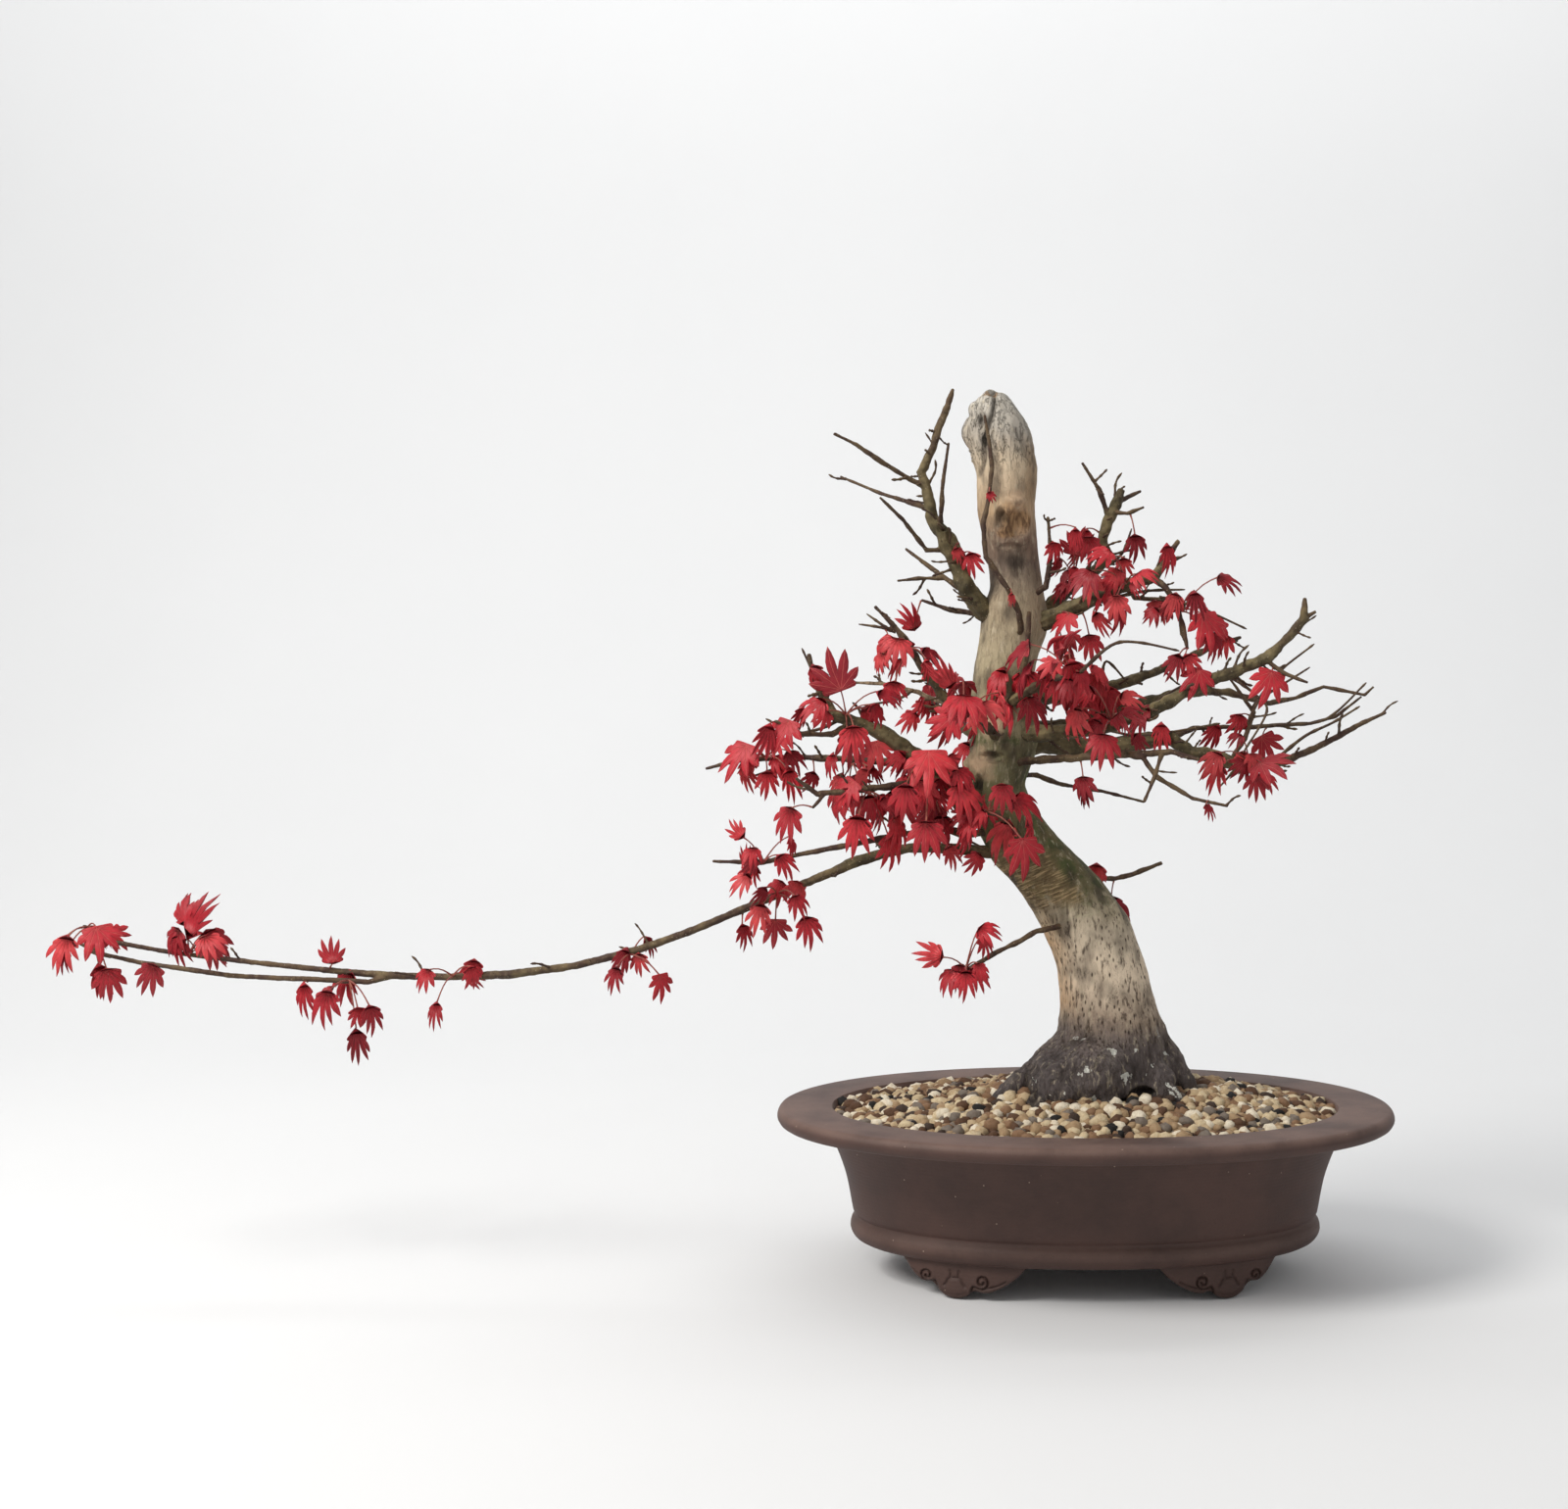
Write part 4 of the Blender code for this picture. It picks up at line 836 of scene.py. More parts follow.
gravel_finish = make_gravel_finish()
gravel_bed = bpy.data.objects["mound_guide"]
gravel_bed.name = gravel_bed.data.name = "gravel_bed"
BED_DROP, BED_SHARE = 0.0042, 0.985
bed = points_of(gravel_bed)
bed[:, 2] -= BED_DROP
bed[:, 0] = POT_X + (bed[:, 0] - POT_X) * BED_SHARE
bed[:, 1] *= BED_SHARE
move_points(gravel_bed, bed)
paint(gravel_bed, "tint", [0.80] * len(bed))
smooth(gravel_bed, 60)
dress(gravel_bed, gravel_finish, "gravel", "gravel")
half = len(upper) // 2
for name, copies in (("gravel_back", upper[half:]), ("gravel_front", upper[:half]), ("gravel_under", lower)):
    dress(plant(name, copies), gravel_finish, "gravel", "gravel")
for grain in grains:
    bpy.data.objects.remove(grain)

# %% [markdown]
# ## The trunk
# The trunk is one thick twisting stem with roots that grip the gravel and a dead top. Its measured solid is
# faceted, so a copy is remeshed into small even quads, smoothed, and then carved: roots get ridges and
# hollows, the top gets a crack, wounds get a rim, and the bark swells where a branch leaves it.

# %% Fine mesh from a measured solid
def refined(piece, voxel, rounds, regain=0.0):
    use(piece, "REMESH", mode="VOXEL", voxel_size=voxel, adaptivity=0.0)
    use(piece, "SMOOTH", factor=0.5, iterations=rounds)
    if regain:
        move_points(piece, points_of(piece) + normals_of(piece) * regain)
    return piece


def clouds(places, size, shift, stretch=1.0):
    """Smooth noise from -1 to 1 at each place. A stretch above 1 draws it out along the height."""
    scale = Vector((1 / size, 1 / size, 1 / size / stretch))
    offset = Vector((shift, shift * 0.7, -shift))
    return np.array([noise.noise(Vector(place) * scale + offset) for place in places])


def soften(piece, low, high, rounds):
    """Smooths a piece only between two heights."""
    height = points_of(piece)[:, 2]
    zone = piece.vertex_groups.new(name="zone")
    inside = np.nonzero((height > low) & (height < high))[0]
    zone.add([int(k) for k in inside], 1.0, "REPLACE")
    use(piece, "SMOOTH", factor=0.5, iterations=rounds, vertex_group="zone")
    piece.vertex_groups.clear()


def swell_front(piece, middle, reach):
    """Brings the piece's front forward to a smooth egg shape, and fills the hollows that lie behind it."""
    co = points_of(piece)
    across = ((co[:, 0] - middle[0]) / reach[0]) ** 2 + ((co[:, 2] - middle[2]) / reach[2]) ** 2
    egg = middle[1] - reach[1] * np.sqrt(np.clip(1 - across, 0, 1))
    front = (across < 1) & (co[:, 1] < middle[1]) & (co[:, 1] > egg)
    co[front, 1] = egg[front]
    move_points(piece, co)


TRUNK_VOXEL = 0.00135
trunk = refined(copy_of("trunk", "trunk_wood"), TRUNK_VOXEL, 14)
soften(trunk, 0.125, 0.185, 30)
swell_front(trunk, (POT_X + 0.006, -0.014, 0.136), (0.036, 0.044, 0.030))
swell_front(trunk, (POT_X - 0.016, -0.008, 0.130), (0.026, 0.050, 0.024))
soften(trunk, 0.118, 0.175, 10)
soften(trunk, 0.185, 0.605, 24)
print("trunk:", triangles_in(trunk), "triangles")


# %% Branch roots: where each branch meets the trunk
TOUCHING = 0.0011
GROWN_IN = 0.0035


def grow_into_trunk(piece):
    """Pushes the end of a branch, which stops just short of the trunk, on into it."""
    moved, ends = points_of(piece), []
    for k, vertex in enumerate(piece.data.vertices):
        spot, normal, _, gap = trunk_solid.find_nearest(vertex.co)
        if gap < TOUCHING:
            moved[k] = np.array(spot - normal * GROWN_IN)
            ends.append(spot.copy())
    move_points(piece, moved)
    return ends


branch_pieces, collars = {}, []
for node in BRANCHES:
    branch_pieces[node] = copy_of(node, node + "_wood")
    ends = grow_into_trunk(branch_pieces[node])
    if ends:
        middle = sum(ends, Vector()) / len(ends)
        reach = max((end - middle).length for end in ends)
        collars.append((middle, max(reach, 0.001)))
print(len(collars), "collars, widest", round(max(reach for _, reach in collars) * 1000, 1), "mm")


# %% Carving the trunk
def carve_trunk():
    """Lifts and lowers the bark, and stores on each point how deep in a crease it lies, which the finish
    darkens as painted shade.
    """
    co, normal = points_of(trunk), normals_of(trunk)
    height = co[:, 2]
    lift = np.zeros(len(co))
    for middle, reach in collars:
        gap = np.linalg.norm(co - np.array(middle), axis=1)
        lift += 0.45 * reach * np.exp(-((gap / (reach * 1.7 + 0.001)) ** 2))
    lift = np.minimum(lift, 0.006)
    foot = np.clip((0.174 - height) / 0.03, 0, 1)
    top = np.clip((height - 0.535) / 0.03, 0, 1)
    middle = (1 - foot) * (1 - top)
    lift += clouds(co, 0.055, 3) * 0.0016
    step = np.exp(-(((height - 0.171 - clouds(co, 0.03, 8) * 0.005) / 0.0045) ** 2))
    lift += step * 0.0016 * (0.5 + 0.5 * clouds(co, 0.01, 1))
    bark = clouds(co, 0.012, 9, 1.8) * (0.0006 * middle + 0.0014 * foot + 0.0007 * top)
    ridge = 0.45 - np.abs(clouds(co, 0.009, 5, 4.0)) * 2
    bark += ridge * (0.00022 * middle + 0.0008 * foot + 0.0011 * top)
    bark += clouds(co, 0.0040, 2, 1.3) * (0.00018 + 0.0006 * foot + 0.0002 * top)
    across = co[:, 0] - POT_X
    front = np.clip(-normal[:, 1] * 1.6, 0, 1)
    crack = np.abs(across + 0.068 - 0.20 * (height - 0.565) - clouds(co, 0.02, 6) * 0.003)
    bark -= front * top * 0.0034 * np.exp(-((crack / 0.0013) ** 2))
    # How deep each point lies in a crease, which the bark's finish darkens as painted shade.
    paint(trunk, "hollow", np.clip(-bark / (0.0004 + 0.0011 * (foot + top)), 0, 1))
    return co + normal * (lift + bark)[:, None]


move_points(trunk, carve_trunk())


# %% Wounds, hollows, stains and painted shade
def trunk_front(x, z):
    """The point of the trunk's front at a place across from the pot's middle and a height."""
    hit = trunk_solid.ray_cast(Vector((POT_X + x, -1, z)), Vector((0, 1, 0)))
    return hit[0] if hit[0] else Vector((POT_X + x, 0, z))


def press(centre, reach, depth, rim):
    """Presses a hollow into the trunk's front, with a raised rim round it."""
    co, normal = points_of(trunk), normals_of(trunk)
    gap = np.linalg.norm((co - np.array(centre)) / np.array(reach), axis=1)
    gap += clouds(co, 0.007, centre[2] * 40) * 0.22
    shape = -depth * np.clip(1 - gap**2, 0, 1) + rim * np.exp(-(((gap - 1.05) / 0.22) ** 2))
    facing = np.clip((np.array(centre)[1] - co[:, 1]) * 60 + 1.2, 0, 1)
    move_points(trunk, co + normal * (shape * facing)[:, None])


def stain(name, spots):
    """Stores where a stain or a patch of painted shade lies: spots of (across, height, reach)."""
    co = points_of(trunk)
    mask = np.zeros(len(co))
    for x, z, reach in spots:
        gap = np.linalg.norm(co - np.array(trunk_front(x, z)), axis=1)
        gap = gap + clouds(co, 0.008, z * 30) * reach * 0.35
        mask = np.maximum(mask, np.clip(1.5 * (1 - gap / reach), 0, 1))
    paint(trunk, name, mask)


# Across, height, reach in x, y and z, depth and rim, all in metres. A depth below 0 raises the bark.
PRESSES = [
    # the old wound
    (-0.047, 0.509, (0.0085, 0.012, 0.0120), 0.0050, 0.0020),
    (-0.057, 0.512, (0.0040, 0.010, 0.0080), 0.0050, 0.0012),
    (-0.047, 0.524, (0.0120, 0.010, 0.0028), -0.0022, 0.0),
    (-0.050, 0.493, (0.0100, 0.010, 0.0022), 0.0020, 0.0008),
    # the knob at the dead top
    (-0.064, 0.598, (0.0034, 0.010, 0.0034), 0.0030, 0.0012),
    (-0.079, 0.572, (0.0080, 0.014, 0.0110), -0.0046, 0.0),
    (-0.076, 0.588, (0.0052, 0.010, 0.0060), -0.0030, 0.0),
    (-0.080, 0.571, (0.0024, 0.008, 0.0050), 0.0044, 0.0008),
    (-0.068, 0.565, (0.0018, 0.008, 0.0056), 0.0042, 0.0006),
    (-0.078, 0.556, (0.0022, 0.008, 0.0044), 0.0034, 0.0008),
    (-0.071, 0.580, (0.0016, 0.008, 0.0120), 0.0040, 0.0006),
    # a swelling under it
    (-0.082, 0.462, (0.0100, 0.014, 0.0110), -0.0030, 0.0),
    # the burl and its creases
    (-0.080, 0.343, (0.0095, 0.014, 0.0100), -0.0046, 0.0),
    (-0.064, 0.351, (0.0090, 0.010, 0.0030), 0.0040, 0.0010),
    (-0.072, 0.331, (0.0030, 0.010, 0.0090), 0.0042, 0.0010),
    (-0.083, 0.340, (0.0018, 0.008, 0.0052), 0.0026, 0.0006),
    # between the roots
    (0.035, 0.125, (0.0105, 0.024, 0.0066), 0.0090, 0.0008),
    (0.026, 0.120, (0.0090, 0.024, 0.0050), 0.0070, 0.0),
    (0.056, 0.138, (0.0070, 0.022, 0.0120), -0.0040, 0.0),
    (-0.037, 0.130, (0.0040, 0.012, 0.0160), 0.0044, 0.0004),
]
for x, z, reach, depth, rim in PRESSES:
    press(trunk_front(x, z), reach, depth, rim)
stain("wound", [(-0.048, 0.511, 0.014), (-0.053, 0.503, 0.008), (-0.064, 0.598, 0.006), (-0.079, 0.566, 0.007)])
# Dark bark on the knot under the top, and painted shade in the pressed hollows and creases.
stain("dark_stain", [
    (-0.082, 0.462, 0.020), (-0.072, 0.452, 0.014), (-0.072, 0.331, 0.006), (-0.064, 0.351, 0.006),
    (0.035, 0.124, 0.009), (0.027, 0.120, 0.008), (-0.038, 0.126, 0.007), (-0.058, 0.512, 0.008),
    (-0.071, 0.580, 0.005), (-0.068, 0.566, 0.004), (-0.080, 0.571, 0.004), (-0.048, 0.482, 0.010),
])
stain("callus", [
    (-0.072, 0.346, 0.014), (-0.080, 0.343, 0.010), (-0.062, 0.372, 0.012), (-0.047, 0.525, 0.009),
])
smooth(trunk)
print("trunk carved")

# %% [markdown]
# ## The branches
# The branches are thin, knobbly maple wood. Each measured branch is remeshed finer than the trunk, pushed
# on into the trunk so that no gap shows, and given small swellings. How thick the wood is at a point is
# stored on it, because young wood is reddish brown and old wood is olive and grey.

# %% Refining the branches
FINEST, COARSEST = 0.0005, 0.00075
FACES_WANTED = 24000
OLD_WOOD = 0.012
TRAILING_LUMPS = 0.35


def girth_of(piece):
    """How thick the wood is below each point, in metres."""
    solid = surface_of(piece)
    girth = np.empty(len(piece.data.vertices))
    for k, (place, normal) in enumerate(zip(points_of(piece), normals_of(piece))):
        place, normal = Vector(place), Vector(normal)
        hit = solid.ray_cast(place - normal * 0.0002, -normal, 0.03)
        girth[k] = hit[3] if hit[0] else 0.02
    return girth


def face_area(piece):
    return sum(face.area for face in piece.data.polygons)


def refine_branch(piece, node):
    voxel = min(max(math.sqrt(face_area(piece) / FACES_WANTED), FINEST), COARSEST)
    refined(piece, voxel, 3, 0.00012)
    girth = girth_of(piece)
    co, normal = points_of(piece), normals_of(piece)
    knobbly = TRAILING_LUMPS if node == "trailing_branch" else 1.0
    lump = clouds(co, 0.007, 4) * np.minimum(girth * 0.20, 0.0014) * knobbly
    fine = clouds(co, 0.0032, 7) * np.minimum(girth * 0.07, 0.0003)
    move_points(piece, co + normal * (lump + fine)[:, None])
    paint(piece, "girth", np.clip(girth / OLD_WOOD, 0, 1))
    smooth(piece)


for node, piece in branch_pieces.items():
    refine_branch(piece, node)
print("branches:", sum(triangles_in(piece) for piece in branch_pieces.values()), "triangles")


# %% Round tapering rods
def rods(name, lines, sides=2):
    """Rods along lines of (place, radius), made by a bevelled curve and turned into a mesh."""
    data = bpy.data.curves.new(name, "CURVE")
    data.dimensions = "3D"
    data.bevel_depth = 1.0
    data.bevel_resolution = sides
    data.use_fill_caps = True
    for line in lines:
        spline = data.splines.new("POLY")
        spline.points.add(len(line) - 1)
        for point, (place, radius) in zip(spline.points, line):
            point.co = (*place, 1.0)
            point.radius = radius
    piece = bpy.data.objects.new(name, data)
    bpy.context.scene.collection.objects.link(piece)
    only(piece)
    bpy.ops.object.convert(target="MESH")
    smooth(piece)
    return piece


def bowed(start, end, sag, count):
    """Places on a bent line from start to end."""
    places = []
    for k in range(count):
        share = k / (count - 1)
        places.append(start.lerp(end, share) + Vector(sag) * math.sin(math.pi * share))
    return places


# %% Short spurs with buds
SPUR_SHAPE = (1.5, 0.95, 0.8, 1.15, 0.75, 0.7, 1.0, 0.9, 0.25)
TRUNK_CLEAR = 0.012


def spurs_on(piece, count, draw, lowest):
    """Short twigs that end in a bud, at places spread over a branch."""
    lines = []
    faces = piece.data.polygons
    tries = 0
    while len(lines) < count and tries < count * 30:
        tries += 1
        face = faces[draw.randrange(len(faces))]
        start, out = face.center.copy(), face.normal.copy()
        length = draw.uniform(0.004, 0.018)
        thick = draw.uniform(0.0007, 0.0011)
        if start.z < lowest or trunk_solid.find_nearest(start)[3] < TRUNK_CLEAR:
            continue
        away = Vector((start.x - (POT_X - 0.05), start.y, 0)).normalized()
        wander = Vector((draw.uniform(-0.4, 0.4), draw.uniform(-0.4, 0.4), draw.uniform(-0.2, 0.9)))
        heading = (out * 0.7 + away * 0.8 + wander).normalized()
        tip = start + heading * length
        places = bowed(start - out * 0.0008, tip, out * length * 0.14, len(SPUR_SHAPE))
        lines.append([(place, thick * share) for place, share in zip(places, SPUR_SHAPE)])
    return lines


SPUR_COUNTS = {
    "trailing_branch": 12, "left_main_branch": 22, "left_middle_branch": 10, "upper_left_branch": 26,
    "upper_right_branch": 20, "upper_right_low_branch": 18, "right_main_branch": 20, "right_back_branch": 12,
    "right_front_branch": 18, "right_rear_high_branch": 10, "right_low_branch": 6, "front_left_branch": 4,
    "front_right_branch": 4, "back_low_branch": 6, "back_high_branch": 6, "upper_shoot": 3, "dead_twig": 3,
    "lower_left_twig": 3, "upright_shoot": 3,
}
LOWEST_SPUR, LOWEST_ON_TRAIL = 0.30, 0.18
spur_draw = random.Random(21)
spur_lines = []
for node, count in SPUR_COUNTS.items():
    lowest = LOWEST_SPUR if node != "trailing_branch" else LOWEST_ON_TRAIL
    spur_lines += spurs_on(branch_pieces[node], count, spur_draw, lowest)
print(len(spur_lines), "spurs")

# %% Thin shoots that leave the branches
DEPTH_WEIGHT = 0.15
WOOD_PLACES = [(Vector((v.co.x, v.co.z, v.co.y * DEPTH_WEIGHT)), v.co.copy())
               for piece in branch_pieces.values() for v in list(piece.data.vertices)[::5]]
wood_map = KDTree(len(WOOD_PLACES))
for k, (key, _) in enumerate(WOOD_PLACES):
    wood_map.insert(key, k)
wood_map.balance()


def wood_beside(x, z, y=0.0):
    """The point of the branches that is nearest to a place seen from the front."""
    _, k, _ = wood_map.find(Vector((POT_X + x, z, y * DEPTH_WEIGHT)))
    return WOOD_PLACES[k][1]


# Across from the pot's middle and height, in mm, from the branch outwards.
SHOOTS = [
    [(112, 372), (120, 385), (134, 406), (159, 426)], [(118, 383), (126, 391), (156, 410)],
    [(104, 366), (140, 371), (171, 375), (198, 399)], [(134, 356), (152, 364), (171, 373), (188, 383)],
    [(110, 350), (105, 342), (95, 330)], [(2, 418), (12, 424), (29, 426), (54, 421)],
    [(12, 424), (19, 416), (33, 402)], [(84, 412), (98, 401), (110, 392), (118, 381), (104, 356)],
    [(50, 462), (60, 456), (79, 451), (108, 438)], [(30, 370), (48, 385), (70, 399), (96, 408)],
    [(-14, 368), (10, 369), (40, 364), (92, 372)], [(24, 452), (40, 462), (64, 463)],
    [(-170, 374), (-175, 388), (-181, 401), (-190, 421)], [(-175, 387), (-170, 402), (-163, 415)],
    [(-168, 372), (-180, 369), (-196, 367), (-213, 375)], [(-118, 396), (-129, 389), (-150, 385)],
    [(-130, 434), (-139, 438), (-152, 440)], [(-132, 433), (-140, 441), (-147, 446)],
    [(-192, 350), (-202, 345), (-213, 341), (-228, 336)], [(-122, 305), (-130, 300), (-140, 292)],
    [(-100, 303), (-86, 297), (-70, 289)], [(-60, 470), (-66, 480), (-70, 497)],
    [(-2, 470), (4, 482), (14, 492)], [(20, 478), (27, 490), (33, 505)], [(44, 470), (52, 478), (64, 485)],
]


def shoot_line(route, thick):
    """A knobbly shoot along a route, which starts on the nearest branch."""
    root = wood_beside(route[0][0] * MM, route[0][1] * MM)
    places = [root]
    for x, z in route[1:]:
        places.append(Vector((POT_X + x * MM, root.y + (len(places) - 1) * 0.002 - 0.001, z * MM)))
    bent = between_rings([tuple(place) for place in places], 6)
    line = []
    for k, place in enumerate(bent):
        share = k / (len(bent) - 1)
        knot = 1.32 if k % 5 == 3 else 1.0
        line.append((place, thick * (1 - 0.45 * share) * knot))
    ahead = (Vector(bent[-1]) - Vector(bent[-2])).normalized()
    line.append((Vector(bent[-1]) + ahead * 0.0025, thick * 0.3))
    return line


SHOOT_RADIUS = 0.00125
shoot_lines = [shoot_line(route, SHOOT_RADIUS) for route in SHOOTS]
thin_shoots = rods("thin_shoots", shoot_lines)
paint(thin_shoots, "girth", [0.16] * len(thin_shoots.data.vertices))
bud_spurs = rods("bud_spurs", spur_lines)
paint(bud_spurs, "girth", [0.08] * len(bud_spurs.data.vertices))

# %% [markdown]
# ## Bark
# Maple bark changes up the trunk: dark and rough on the roots, grey-tan and speckled above them, green with
# moss and algae in the middle, beige higher up, and bare silver wood at the dead top. A ramp over the
# height gives those zones, with noise to ragged their edges, and finer patterns lay cracks, pores, scars
# and lichen on top.

# %% The trunk's finish
def make_bark():
    bark = Finish("maple_bark", Roughness=0.85, Specular_IOR_Level=0.25)
    across, _, height = bark.split(bark.place())
    ragged = height + (bark.grain(0.020, 4, 0.65) - 0.5) * 0.030
    zones = [
        (0.190, tone(82, 75, 74)), (0.250, tone(98, 89, 87)), (0.272, tone(112, 100, 94)),
        (0.292, tone(156, 138, 120)), (0.330, tone(222, 203, 178)), (0.385, tone(206, 190, 166)),
        (0.412, tone(172, 158, 132)), (0.432, tone(106, 99, 70)), (0.500, tone(104, 95, 64)),
        (0.570, tone(106, 102, 72)), (0.625, tone(140, 129, 100)),
        (0.690, tone(178, 164, 134)), (0.765, tone(164, 147, 122)), (0.795, tone(122, 106, 93)),
        (0.830, tone(140, 118, 100)), (0.862, tone(194, 164, 130)), (0.915, tone(212, 192, 164)),
        (0.950, tone(182, 173, 160)), (1.0, tone(208, 202, 190)),
    ]
    base = bark.ramp(ragged / 0.6, zones)
    wave = bark.grain(0.011, 5, 0.7, (1, 1, 0.55), (0.2, 0.3, 0)) - 0.5
    shaded = bark.mix(1.0, base, tone(170, 160, 150), "MULTIPLY")
    base = bark.mix((wave * 3).between(0, 1) * 0.45, base, shaded)
    base = bark.mix((wave * -3).between(0, 1) * 0.30, base, tone(196, 184, 160))
    moss_zone = height.between(0.235, 0.262) * (1 - height.between(0.37, 0.43))
    moss = bark.grain(0.013, 5, 0.68).between(0.47, 0.60) * moss_zone
    base = bark.mix(moss * 0.75, base, tone(72, 84, 46))
    left = 1 - (across - (POT_X - 0.026) + (height - 0.20) * 0.15).between(-0.006, 0.024)
    orange = left * height.between(0.172, 0.185) * (1 - height.between(0.222, 0.250))
    base = bark.mix(orange * bark.grain(0.012, 3).between(0.2, 0.5) * 0.85, base, tone(212, 164, 108))
    strip = 1 - abs(across - (POT_X - 0.036)).between(0.0, 0.010)
    brown = strip * height.between(0.515, 0.530) * (1 - height.between(0.555, 0.575))
    base = bark.mix(brown * 0.6, base, tone(126, 94, 60))
    streak = bark.grain(0.0026, 4, 0.62, (1, 1, 0.24))
    speckled = height.between(0.140, 0.165) * (1 - height.between(0.240, 0.262))
    plain = 0.30 + 0.70 * speckled
    base = bark.mix(streak.between(0.53, 0.66) * plain * 0.8, base, tone(66, 52, 42))
    pale = bark.grain(0.0036, 4, 0.62, (1, 1, 0.35), (0.4, 0, 0)).between(0.54, 0.70)
    base = bark.mix(pale * 0.5, base, tone(204, 190, 164))
    slope = height - (across - POT_X) * 0.30
    etched = slope.between(0.250, 0.258) * (1 - slope.between(0.292, 0.306))
    etched = etched * (1 - (across - POT_X + (height - 0.27) * 0.9).between(-0.020, -0.008))
    scar_zone = etched * bark.grain(0.012, 3, 0.6, (1, 1, 1), (0.3, 0.7, 0)).between(0.30, 0.45)
    slant = bark.node("ShaderNodeMapping", {}, {"Vector": bark.place(), "Rotation": (0, math.radians(24), 0)})
    fine_line = bark.node("ShaderNodeMapping", {}, {"Vector": slant, "Scale": (0.11, 0.11, 1.0)})
    scratch = bark.node("ShaderNodeTexNoise", {}, {"Vector": fine_line, "Scale": 900.0, "Detail": 2.0})
    base = bark.mix(scar_zone * 0.6, base, tone(126, 104, 74))
    scar = scratch.between(0.55, 0.62) * scar_zone
    base = bark.mix(scar * 0.6, base, tone(184, 158, 118))
    score = (1 - scratch.between(0.36, 0.43)) * scar_zone
    base = bark.mix(score * 0.5, base, tone(84, 64, 46))
    waver = bark.grain(0.014, 3, 0.6) * 0.008 + bark.grain(0.003, 2) * 0.002
    line = 1 - abs(height - 0.2395 - waver - (across - POT_X) * 0.30).between(0.0002, 0.0012)
    base = bark.mix(line * bark.grain(0.009, 2).between(0.3, 0.5) * 0.55, base, tone(190, 180, 150))
    pores = bark.cells(0.0036, (1, 1, 0.40))
    base = bark.mix((1 - pores.between(0.09, 0.25)) * speckled * 0.95, base, tone(58, 45, 37))
    fissure = bark.grain(0.006, 5, 0.7, (1, 1, 0.30), (0.8, 0.3, 0))
    crack = (1 - abs(fissure - 0.5).between(0.0, 0.022)) * (0.25 + 0.75 * height.between(0.54, 0.56))
    base = bark.mix(crack * 0.55, base, tone(74, 64, 54))
    # Painted shade: the bark is darkened in its creases.
    base = bark.mix(bark.attribute("hollow") * 0.65, base, tone(52, 43, 37))
    wound = bark.attribute("wound")
    fibre = bark.mix(streak.between(0.35, 0.65), tone(178, 140, 98), tone(104, 74, 48))
    base = bark.mix(wound.between(0.1, 0.7) * 0.75, base, fibre)
    base = bark.mix(bark.attribute("callus") * 0.75, base, tone(202, 172, 142))
    # Darker on the knot, and as painted shade in the hollows and creases.
    base = bark.mix(bark.attribute("dark_stain") * 0.8, base, tone(44, 35, 28))
    lichen = bark.grain(0.013, 4, 0.6, (1, 1, 0.8), (0.7, 0.1, 0)).between(0.62, 0.64)
    lichen = lichen * (1 - height.between(0.150, 0.172))
    base = bark.mix(lichen * 0.9, base, tone(222, 222, 212))
    # Painted shade: the trunk is darkened just above the gravel, where it goes in.
    base = bark.mix((1 - height.between(0.112, 0.130)) * 0.5, base, tone(38, 32, 30))
    bark.colour(base)
    bark.roughness(0.70 + 0.2 * streak)
    rough_zone = 0.45 + 0.55 * (1 - height.between(0.15, 0.19)) + 0.35 * height.between(0.54, 0.56)
    texture = (bark.grain(0.0011, 3, 0.7) * 0.35 - streak.between(0.5, 0.7) * 0.5
               + pores.between(0.0, 0.3) * 0.3 - crack * 0.6 - score * 0.7 + fissure * 0.5)
    bark.relief(texture * rough_zone, 0.0019)
    return bark


bark = make_bark()
dress(trunk, bark, "bark", "trunk")


# %% The branches' finish
def make_twig_finish():
    wood = Finish("maple_twig", Roughness=0.7, Specular_IOR_Level=0.3)
    girth = wood.attribute("girth")
    patch = wood.grain(0.013, 4, 0.6)
    young = wood.mix(patch.between(0.35, 0.7), tone(72, 50, 42), tone(112, 92, 66))
    old = wood.mix(patch.between(0.35, 0.7), tone(74, 66, 42), tone(128, 114, 80))
    base = wood.mix((girth + (patch - 0.5) * 0.30).between(0.30, 0.66), young, old)
    grey = wood.grain(0.0045, 4, 0.6, (1, 1, 0.6)).between(0.5, 0.75)
    base = wood.mix(grey * 0.3, base, tone(150, 134, 108))
    # Painted shade: the wood is darkened where it faces down.
    under = wood.split(wood.node("ShaderNodeNewGeometry", output="Normal"))[2]
    base = wood.mix((1 - under.between(-0.6, 0.5)) * 0.45, base, tone(40, 32, 24))
    dark = wood.grain(0.0022, 4, 0.65, (1, 1, 0.7), (0.3, 0, 0)).between(0.55, 0.75)
    base = wood.mix(dark * 0.8, base, tone(44, 33, 26))
    pores = wood.cells(0.0026)
    base = wood.mix((1 - pores.between(0.06, 0.16)) * 0.6, base, tone(188, 174, 146))
    wood.colour(base)
    wood.roughness(0.55 + 0.3 * patch)
    wood.relief(grey * 0.4 + dark * -0.5 + wood.grain(0.0009, 3, 0.7) * 0.4, 0.0006)
    return wood


def make_dead_finish():
    dead = Finish("dead_twig_wood", Roughness=0.8, Specular_IOR_Level=0.25)
    streak = dead.grain(0.002, 4, 0.6, (1, 1, 0.15))
    dead.colour(dead.mix(streak.between(0.35, 0.7), tone(92, 76, 60), tone(150, 130, 104)))
    dead.roughness(0.7 + 0.2 * streak)
    dead.relief(streak, 0.0004)
    return dead


twig_finish = make_twig_finish()
dead_finish = make_dead_finish()
for node, piece in branch_pieces.items():
    if node == "dead_twig":
        dress(piece, dead_finish, "deadwood", node)
    else:
        dress(piece, twig_finish, "twig", node)
dress(bud_spurs, twig_finish, "twig")
dress(thin_shoots, twig_finish, "twig")

